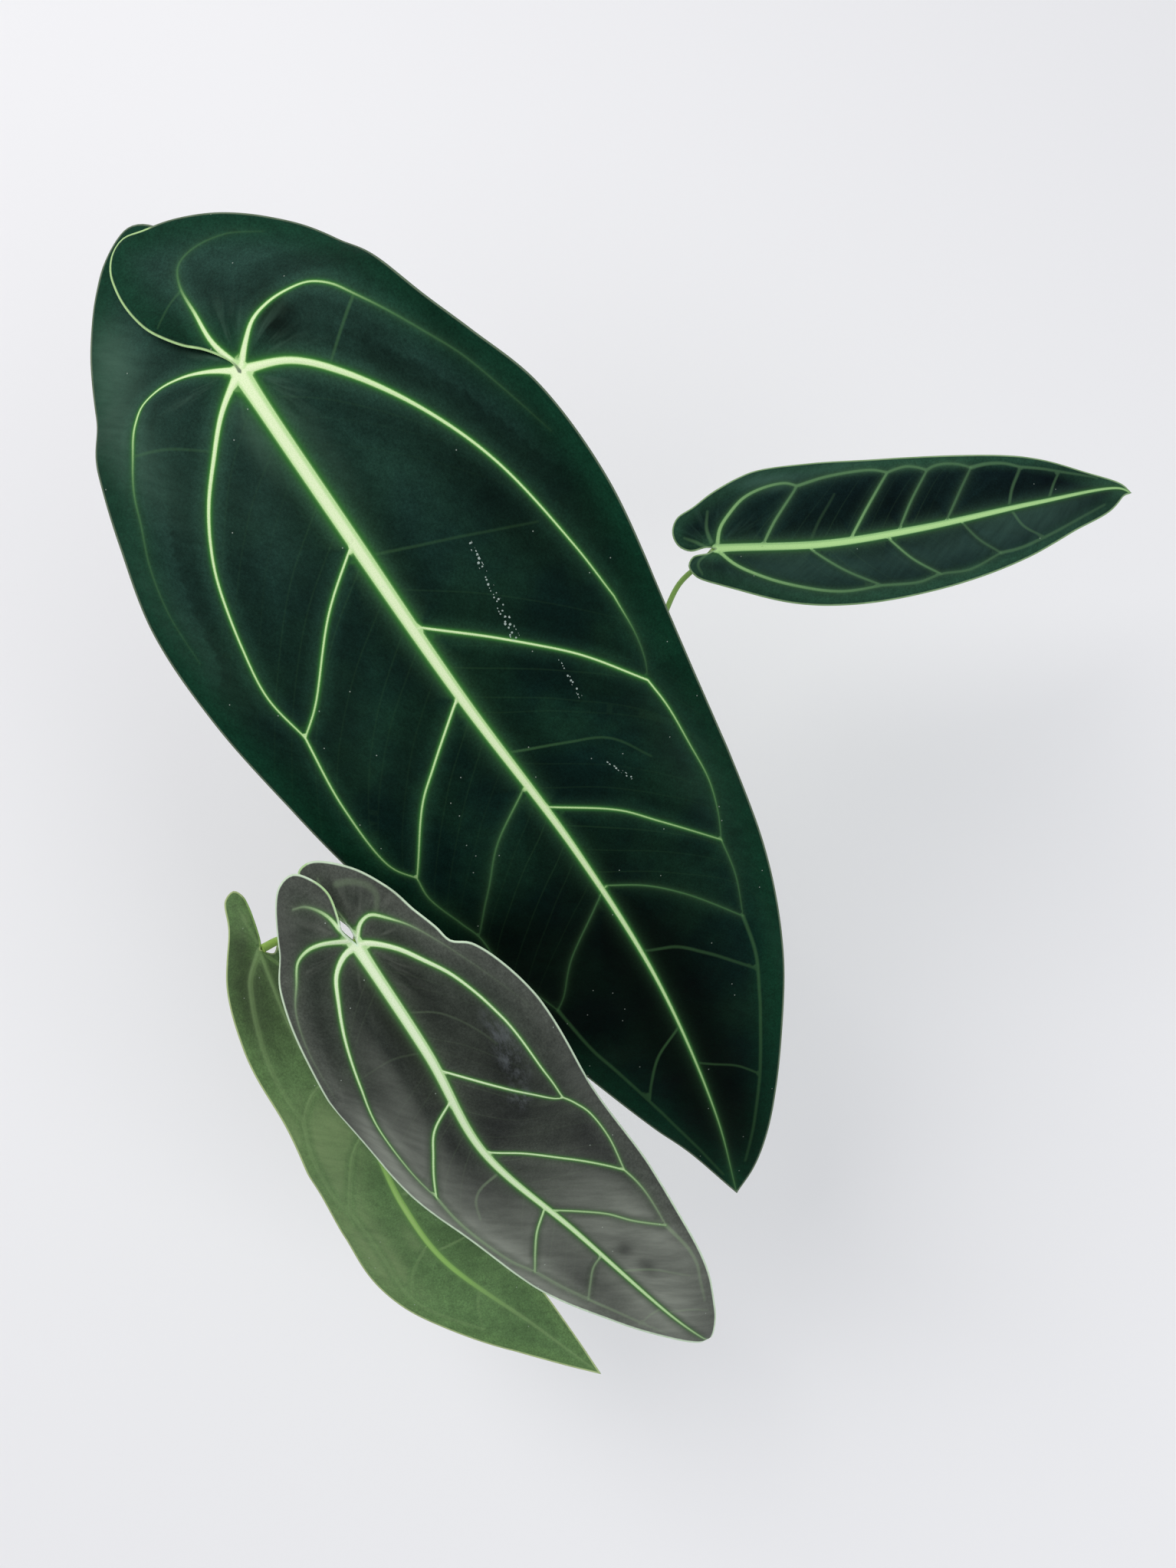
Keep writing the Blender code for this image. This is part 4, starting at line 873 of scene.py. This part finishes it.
# The lowest leaf has only just opened: soft light green with barely paler veins, steeply folded at its joint.
lower_blade = Blade(
    name="lower",
    spine=[
        (-160, -40, 262), (-144, -77, 270), (-120, -129, 270), (-84, -179, 260), (-69, -218, 235),
        (-48, -256, 205), (4, -301, 175), (43, -333, 160)],
    roll=(6, 4, 0), half_width=48,
    left=Half(
        margin=[
            (-4, -1.5), (-10, -2), (-18, -2), (-26, -1.5), (-33, 0), (-37.5, 4), (-34, 10), (-17, 13),
            (13, 24), (45, 28), (80, 30), (122, 38), (170, 37), (209, 38), (250, 30), (285, 22), (325, 9)],
        strong=[
            ((1.3, 1.1), (0.5, 0.2), [(1, 1), (13, 10), (27, 14), (43, 17), (63, 20), (90, 22)]),
            ((1.1, 1), (0.35, 0.28), [(80, 0), (82, 10), (90, 22)]),
            ((1.1, 1), (0.35, 0.25), [(115, 0), (123, 11), (160, 27)]),
            ((1, 0.8), (0.3, 0.15), [(204, 0), (214, 17), (226, 28)]),
            ((1, 0.8), (0.3, 0.2),
             [(90, 22), (110, 30), (152, 31), (160, 27), (196, 25), (226, 28), (270, 18)])],
        weak=[
            ((0.6, 0.4), (0.2, 0.1), [(252, 0), (258, 9), (270, 18)]),
            ((0.6, 0.4), (0.3, 0.1), [(-4, 0), (-14, 2), (-26, 4)])],
        rise=(4, 6, 4), fall=(24, 20, 14), lobe=(0, 30)),
    right=Half(
        margin=[
            (2, -4), (3, -10), (-1, -15), (-6, -19), (-8, -24), (0, -30), (14, -34), (45, -38), (90, -42),
            (150, -42), (205, -37), (250, -29), (283, -20), (325, -8)],
        strong=[
            ((1.2, 1), (0.6, 0.35), [(2, -1), (20, -18), (55, -28), (98, -30)]),
            ((1, 1), (0.35, 0.3), [(74, 0), (82, -16), (98, -30)]),
            ((1, 1), (0.35, 0.3), [(124, 0), (130, -17), (140, -33)]),
            ((1, 0.8), (0.35, 0.25), [(98, -30), (140, -33), (180, -29), (225, -26), (262, -17)])],
        weak=[
            ((0.6, 0.4), (0.4, 0.2), [(162, 0), (169, -15), (180, -29)]),
            ((0.6, 0.4), (0.4, 0.2), [(212, 0), (218, -13), (225, -26)])],
        rise=(-60, -8, 2), fall=(75, 36, 16), lobe=(-66, 80)),
    midrib=((1.3, 1.2, 1.2, 1.4, 1.2, 0.8, 0.3), (0.5, 0.4, 0.7, 1, 0.8, 0.45, 0.3)),
    light_and_shade_patches=[
        (100, 22, 50, 16, 0.6), (180, 28, 50, 14, 0.5), (24, 15, 46, 18, -0.7), (250, -14, 60, 14, -0.25),
        (103, 8, 24, 7, 0.35), (128, -8, 34, 9, 0.45), (-8, 11, 8, 6, -0.25), (-19, 2, 6, 4, 0.6),
        (197, 5, 18, 5, 0.45), (204, 25, 26, 9, 0.3)],
    flare=0.8, rib=3, relief=0.7, spacing=2, feather=10, seed=31)
lower_leaf, lower_drape = grow_blade(lower_blade)
young_green = Colours(
    deep=(0.07, 0.138, 0.048), green=(0.096, 0.182, 0.065), near_joint=(0.075, 0.13, 0.048),
    margin=(0.095, 0.18, 0.06),
    veins=((0.1, 0.2, 0.06), (0.14, 0.27, 0.075), (0.23, 0.43, 0.1), (0.33, 0.52, 0.16)),
    dim=(0.22, 0.34, 0.14), edge=(0.42, 0.52, 0.24), painted_sheen_colour=(0.19, 0.27, 0.12), film=(0.2, 0.23, 0.2))
dress(lower_leaf, velvet("young_green", young_green, zone=10, fold_sheen_strength=0.1, bloom=0, sheen=0.02, gloss=0.15),
      underside("lower_back_green", (0.1, 0.24, 0.07), (0.2, 0.42, 0.12)), "lower")

# Each blade hangs from its own round stalk, thickened at the foot and at the joint below the blade, which
# is a paler green and lets the blade turn to the light. The feet stand in the top of the stem.
class Growth(Nodes):
    """A Geometry Nodes tree with named inputs, which ends by giving its geometry a finish."""

    def __init__(self, name, **kinds):
        super().__init__(bpy.data.node_groups.new(name, "GeometryNodeTree"))
        for label, kind in {"Geometry": "Geometry", **kinds, "Finish": "Material"}.items():
            self.tree.interface.new_socket(label, in_out="INPUT", socket_type=f"NodeSocket{kind}")
        self.tree.interface.new_socket("Geometry", in_out="OUTPUT", socket_type="NodeSocketGeometry")
        self.given = self.node("NodeGroupInput")

    def end(self, geometry):
        real = self.node("GeometryNodeRealizeInstances", {"Geometry": geometry})[0]
        coated = self.node("GeometryNodeSetMaterial", {"Geometry": real, "Material": self.given["Finish"]})[0]
        self.node("NodeGroupOutput", {"Geometry": coated})
        return self.tree


def rod_along_line():
    """A round rod along a chain of edges, as thick as its points' girth, which knows the turn around it."""
    growth = Growth("rod_along_line", Sides="Int")
    given = growth.given
    ring = growth.node("GeometryNodeCurvePrimitiveCircle", {"Resolution": given["Sides"], "Radius": 1})[0]
    around = growth.node("GeometryNodeSplineParameter")["Factor"]
    ring = growth.node("GeometryNodeStoreNamedAttribute", {"Geometry": ring, "Name": "turn",
                                                           "Value": around})[0]
    line = growth.node("GeometryNodeMeshToCurve", {"Mesh": given["Geometry"]})[0]
    girth = growth.node("GeometryNodeInputNamedAttribute", {"Name": "girth"})["Attribute"]
    rod = growth.node("GeometryNodeCurveToMesh", {"Curve": line, "Profile Curve": ring, "Scale": girth,
                                                  "Fill Caps": True})[0]
    return growth.end(growth.node("GeometryNodeSetShadeSmooth", {"Geometry": rod})[0])


def grown(name, host, tree, settings):
    """The plain mesh object that a tree makes of a host mesh."""
    thing = add(name, host)
    grow = thing.modifiers.new("grow", "NODES")
    grow.node_group = tree
    for socket in tree.interface.items_tree:
        if socket.in_out == "INPUT" and socket.name in settings:
            grow[socket.identifier] = settings[socket.name]
    bpy.context.view_layer.update()
    made = bpy.data.meshes.new_from_object(thing.evaluated_get(bpy.context.evaluated_depsgraph_get()))
    thing.modifiers.clear()
    thing.data = made
    return thing


def stalk_green(name, tint):
    """Smooth olive-green skin with fine lengthwise streaks and pale dots, browner at the foot."""
    finish = Finish(name)
    run, left, turn = [Amount(finish, finish.stored(label)["Fac"]) for label in ("run", "left", "turn")]
    ring = finish.work("COSINE", turn * (2 * pi)), finish.work("SINE", turn * (2 * pi))
    streak = finish.noise(finish.vector(*ring, run * 0.02), 6, 4, 0.65)
    dots, _, _ = finish.cells(finish.vector(*ring, run * 0.25), 2.2)
    green = finish.paint(tint, (finish.ramp(streak, 0.35, 0.68), tuple(1.45 * part for part in tint)),
                         (finish.ramp(dots, 0.14, 0.07, 0, 0.5), (0.32, 0.42, 0.16)),
                         (finish.ramp(run, 34, 2, 0, 0.75), (0.14, 0.12, 0.045)),
                         (finish.ramp(left, 17, 11, 0, 0.9), (0.28, 0.46, 0.08)))
    return finish.coat(green, 0.42, streak, 0.15, 0.4)


rod_tree = rod_along_line()
foot_ring = 7
foot_height = 135.3


def grow_stalk(name, drape, waypoints, radius, approach, foot_angle, foot_out, tint):
    """The stalk from its foot in the stem, through its waypoints, into the rib under the blade's joint."""
    angle = radians(foot_angle)
    foot = np.array([foot_ring * foot_out * cos(angle), foot_ring * foot_out * sin(angle), foot_height])
    axes = [drape.read(table, 0) for table in (drape.forward, drape.across, drape.up)]
    inward = sum(part * axis for part, axis in zip(approach, axes))
    inward /= np.linalg.norm(inward)
    seat = drape.read(drape.curve, 0) - inward
    route = through([foot, foot + (0, 0, 6), foot + (0, 0, 13.2), *waypoints, seat - 7 * inward,
                     seat - 2.5 * inward, seat], 3)
    run = np.concatenate([[0], np.cumsum(norms(np.diff(route, axis=0)))])
    left = run[-1] - run
    thick_foot = 0.35 * (1 - smoothstep(run / 45))
    thick_joint = 0.25 * (1 - smoothstep((left - 6) / 10))
    neck = 0.12 * np.exp(-((left - 19) / 5) ** 2)
    girth = radius * (1 + thick_foot + thick_joint - neck)
    host = bpy.data.meshes.new(f"{name}_stalk")
    host.from_pydata(route * MM, [(i, i + 1) for i in range(len(route) - 1)], [])
    for label, values in (("girth", girth * MM), ("run", run), ("left", left)):
        keep(host, label, values)
    settings = {"Sides": 16, "Finish": stalk_green(f"{name}_stalk_green", tint)}
    stalk = grown(f"{name}_stalk", host, rod_tree, settings)
    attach(stalk, "root")
    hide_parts(f"petiole_{name}")


grow_stalk("large", large_drape, [(-12, 17, 205), (-36, 52, 300), (-70, 101, 398), (-95, 137, 452)],
           2.6, (0, 0, 1), 124, 1, (0.075, 0.13, 0.03))
grow_stalk("side", side_drape, [(20, 22, 165), (52, 70, 212), (77, 112, 244), (88, 133, 260),
                                (101, 143, 270)], 1.6, (0.3, 0, 0.95), 48, 1, (0.16, 0.28, 0.06))
grow_stalk("upper", upper_drape, [(-8, -9, 195), (-34, -38, 265), (-62, -70, 325), (-71, -82, 372),
                                  (-68, -80, 396)], 2.1, (0.2, 0, 0.98), 230, 0, (0.09, 0.15, 0.035))
grow_stalk("lower", lower_drape, [(-38, -19, 186), (-84, -44, 239), (-122, -65, 260)],
           1.9, (0.2, 0.86, 0.47), 205, 1, (0.13, 0.24, 0.05))

# The short thick stem is ringed with old leaf scars and sends arching roots into the mix. Its shape is the
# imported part's own, so it only takes a finish: corky brown bark, greener near the top, and tan roots.
bark = Finish("ringed_bark")
x, y, z = bark.parts(bark.place())
grain = bark.noise(bark.stretch(bark.place(), (260, 260, 900)), 1, 4, 0.65)
crumbs = bark.noise(bark.place(), 900, 3, 0.6)
cork = bark.paint((0.055, 0.036, 0.016), (bark.ramp(grain, 0.32, 0.7), (0.2, 0.145, 0.075)),
                  (bark.ramp(z, 0.131, 0.1405, 0, 0.7), (0.13, 0.16, 0.045)))
root = bark.paint((0.24, 0.17, 0.09), (bark.ramp(crumbs, 0.3, 0.7), (0.42, 0.34, 0.2)),
                  (bark.ramp(z, 0.112, 0.106, 0, 0.8), (0.09, 0.055, 0.03)))
cork = bark.paint(cork, (bark.ramp(bark.vectors("LENGTH", bark.vector(x, y)), 0.0122, 0.0138), root))
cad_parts["stem"].data.materials[0] = bark.coat(cork, 0.85, grain + crumbs * 0.5, 0.5)

# Each leaf grew out of a papery sheath, and the dry brown remains of four still stand around the stem's top
# between the stalks. They are thin, fibrous, ragged at the end and curl away from the stem.
husk = Finish("dry_sheath_paper")
laid_flat = husk.stored("drawing")["Vector"]
fibres = husk.noise(husk.stretch(laid_flat, (1.6, 0.07, 1)), 1, 4, 0.7)
blotch = husk.noise(laid_flat, 0.12, 3, 0.6)
papery = husk.paint((0.075, 0.038, 0.015), (husk.ramp(fibres, 0.3, 0.72), (0.3, 0.2, 0.1)),
                    (husk.ramp(blotch, 0.5, 0.75, 0, 0.6), (0.17, 0.13, 0.045)))
papery = husk.coat(papery, 0.7, fibres, 0.25)
rows, columns = 19, 15
for number, (middle, spread, low_end, length) in enumerate(
        ((86, 17, 127, 24), (166, 20, 126, 33), (285, 42, 127, 28), (352, 34, 125, 36))):
    corners, sheet = [], []
    for row in range(rows):
        v = row / (rows - 1)
        for column in range(columns):
            u = 2 * column / (columns - 1) - 1
            tear = noise.noise(Vector((u * 4, number * 3.1, 0)))
            reach = v * (length + 5 * tear * v)
            narrow = (1 - v ** 1.5) ** 0.7 if v < 1 else 0
            angle = radians(middle + u * spread * (0.12 + 0.88 * narrow))
            wave = noise.noise(Vector((u * 2, v * 3, number)))
            radius = 12.4 + 4.5 * v ** 2 + 1.1 * v * wave + 1.2 * v * (1 - v) * abs(u) ** 3
            corners.append((radius * cos(angle), radius * sin(angle), low_end + reach))
            sheet.append((u * spread * 0.22, reach, 0))
    faces = [(r * columns + c, r * columns + c + 1, (r + 1) * columns + c + 1, (r + 1) * columns + c)
             for r in range(rows - 1) for c in range(columns - 1)]
    data = bpy.data.meshes.new(f"dry_sheath_{number}")
    data.from_pydata(np.array(corners) * MM, [], faces)
    keep(data, "drawing", sheet)
    data.shade_smooth()
    data.materials.append(papery)
    sheath = add(f"dry_sheath_{number}", data)
    sheath.modifiers.new("thickness", "SOLIDIFY").thickness = 0.35 * MM
    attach(sheath, "root")

# The plant grows in chunky epiphyte mix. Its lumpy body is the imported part's, with a dark crumbly finish, and
# loose pieces of fir bark, white perlite and charcoal lie half sunk in its surface.
mix_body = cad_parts["potting_mix"]
crumb = Finish("damp_crumbs")
away, drawn, _ = crumb.cells(crumb.place(), 330)
humus = crumb.paint((0.022, 0.012, 0.006), (drawn, (0.11, 0.062, 0.03)),
                    (crumb.ramp(crumb.noise(crumb.place(), 90, 4, 0.6), 0.5, 0.7, 0, 0.6), (0.16, 0.1, 0.05)))
dust = crumb.noise(crumb.place(), 1200, 2, 0.6)
mix_body.data.materials[0] = crumb.coat(humus, 0.9, away + dust * 0.3, 1.2)


def scattered_chunks():
    """Copies of one chunk on the host's points, each turned and sized at random within the given bounds."""
    growth = Growth("scattered_chunks", Chunk="Object", Smallest="Vector", Largest="Vector", Tilt="Vector",
                    Seed="Int")
    given = growth.given
    back = growth.node("ShaderNodeVectorMath", {0: given["Tilt"], "Scale": -1}, operation="SCALE")[0]
    turn, size = [growth.node("FunctionNodeRandomValue", {"Min": least, "Max": most, "Seed": given["Seed"]},
                              data_type="FLOAT_VECTOR")[0]
                  for least, most in ((back, given["Tilt"]), (given["Smallest"], given["Largest"]))]
    chunk = growth.node("GeometryNodeObjectInfo", {"Object": given["Chunk"]})["Geometry"]
    return growth.end(growth.node("GeometryNodeInstanceOnPoints", {
        "Points": given["Geometry"], "Instance": chunk, "Rotation": turn, "Scale": size})[0])


def rough_chunk(name, dice, flatness, bevel):
    """One broken piece about a metre wide, to be scaled down: a hull of random points with its edges worn."""
    mesh = bmesh.new()
    for _ in range(22):
        place = Vector(dice.uniform(-0.5, 0.5, 3))
        mesh.verts.new((place.x, place.y * 0.8, place.z * flatness))
    hull = bmesh.ops.convex_hull(mesh, input=mesh.verts)
    bmesh.ops.delete(mesh, geom=[v for v in hull["geom_interior"] if isinstance(v, bmesh.types.BMVert)],
                     context="VERTS")
    bmesh.ops.bevel(mesh, geom=mesh.edges[:], offset=bevel, segments=2, affect="EDGES", clamp_overlap=True)
    bmesh.ops.recalc_face_normals(mesh, faces=mesh.faces)
    data = bpy.data.meshes.new(name)
    mesh.to_mesh(data)
    mesh.free()
    data.shade_smooth()
    return bpy.data.objects.new(name, data)


def chunk_finish(name, dark, light, scale, roughness):
    finish = Finish(name)
    coarse = finish.noise(finish.place(), scale, 4, 0.65)
    fine = finish.noise(finish.place(), 6 * scale, 2, 0.6)
    colour = finish.paint(dark, (finish.ramp(coarse, 0.35, 0.66), light))
    return finish.coat(colour, roughness, coarse + fine * 0.5, 0.6)


dice = np.random.default_rng(62)
scatter = scattered_chunks()
surface = BVHTree.FromPolygons([v.co for v in mix_body.data.vertices],
                               [p.vertices for p in mix_body.data.polygons])
root_angles = np.radians([15, 95, 165, 255, 320])
root_reach = 31
tries = 4000
taken = []
for name, count, inner, outer, flatness, bevel, small, large, tilt, sink, colours in (
        ("bark_chunks", 44, 19, 47, 0.42, 0.05, (6, 6, 6), (12, 12, 11), (0.45, 0.45, pi), 0.6,
         ((0.06, 0.028, 0.012), (0.24, 0.13, 0.06), 240, 0.85)),
        ("charcoal_bits", 16, 19, 49, 0.7, 0.04, (4, 4, 4), (8, 8, 7), (pi, pi, pi), 0.5,
         ((0.008, 0.008, 0.009), (0.03, 0.03, 0.032), 300, 0.6)),
        ("perlite_grains", 70, 17, 52, 0.8, 0.09, (2.2, 2.2, 2), (4.2, 4.2, 3.6), (pi, pi, pi), 0.4,
         ((0.55, 0.54, 0.5), (0.82, 0.82, 0.8), 500, 0.9))):
    places = []
    for _ in range(tries):
        if len(places) == count:
            break
        radius, angle = dice.uniform(inner, outer), dice.uniform(0, 2 * pi)
        spot = np.array([radius * cos(angle), radius * sin(angle)])
        from_roots = np.abs((angle - root_angles + pi) % (2 * pi) - pi).min() * radius
        if radius < root_reach and from_roots < 3 + large[0] / 2:
            continue
        if any(np.linalg.norm(spot - other) < 0.42 * (large[0] + width) for other, width in taken):
            continue
        hit, _, _, _ = surface.ray_cast(Vector((*spot * MM, 0.2)), Vector((0, 0, -1)))
        taken.append((spot, large[0]))
        places.append(hit + Vector((0, 0, flatness * small[2] * 0.5 * (1 - sink) * MM)))
    host = bpy.data.meshes.new(name)
    host.from_pydata(places, [], [])
    chunk = rough_chunk(f"{name}_model", dice, flatness, bevel)
    piece = grown(name, host, scatter, {
        "Chunk": chunk, "Smallest": tuple(size * MM for size in small), "Seed": len(places), "Tilt": tilt,
        "Largest": tuple(size * MM for size in large), "Finish": chunk_finish(name, *colours)})
    bpy.data.objects.remove(chunk)
    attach(piece, "root")

# The pot is a thin black moulded nursery pot with a thick rim band. It is the imported part's own shape, in
# matt plastic that is scuffed, dusty and streaked by dried water all over, and marked by soil lower down.
plastic = Finish("black_nursery_plastic")
_, _, height = plastic.parts(plastic.place())
dust = plastic.noise(plastic.place(), 45, 5, 0.65)
runs = plastic.noise(plastic.stretch(plastic.place(), (160, 160, 14)), 1, 4, 0.6)
scratch = plastic.noise(plastic.stretch(plastic.place(), (40, 40, 1400)), 1, 3, 0.7)
pores = plastic.noise(plastic.place(), 1500, 2, 0.5)
black = plastic.paint(
    (0.012, 0.0125, 0.0135), (plastic.ramp(dust, 0.42, 0.75, 0, 0.55), (0.055, 0.052, 0.048)),
    (plastic.ramp(runs, 0.56, 0.72, 0, 0.35), (0.12, 0.11, 0.095)),
    (plastic.ramp(scratch, 0.66, 0.74, 0, 0.25), (0.1, 0.1, 0.1)),
    (plastic.ramp(height, 0.03, 0.002, 0, 0.7) * plastic.ramp(dust, 0.35, 0.6), (0.07, 0.05, 0.032)))
black = plastic.coat(black, dust * 0.35 + 0.35, pores + scratch * 0.5, 0.06, 0.45)
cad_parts["pot"].data.materials[0] = black
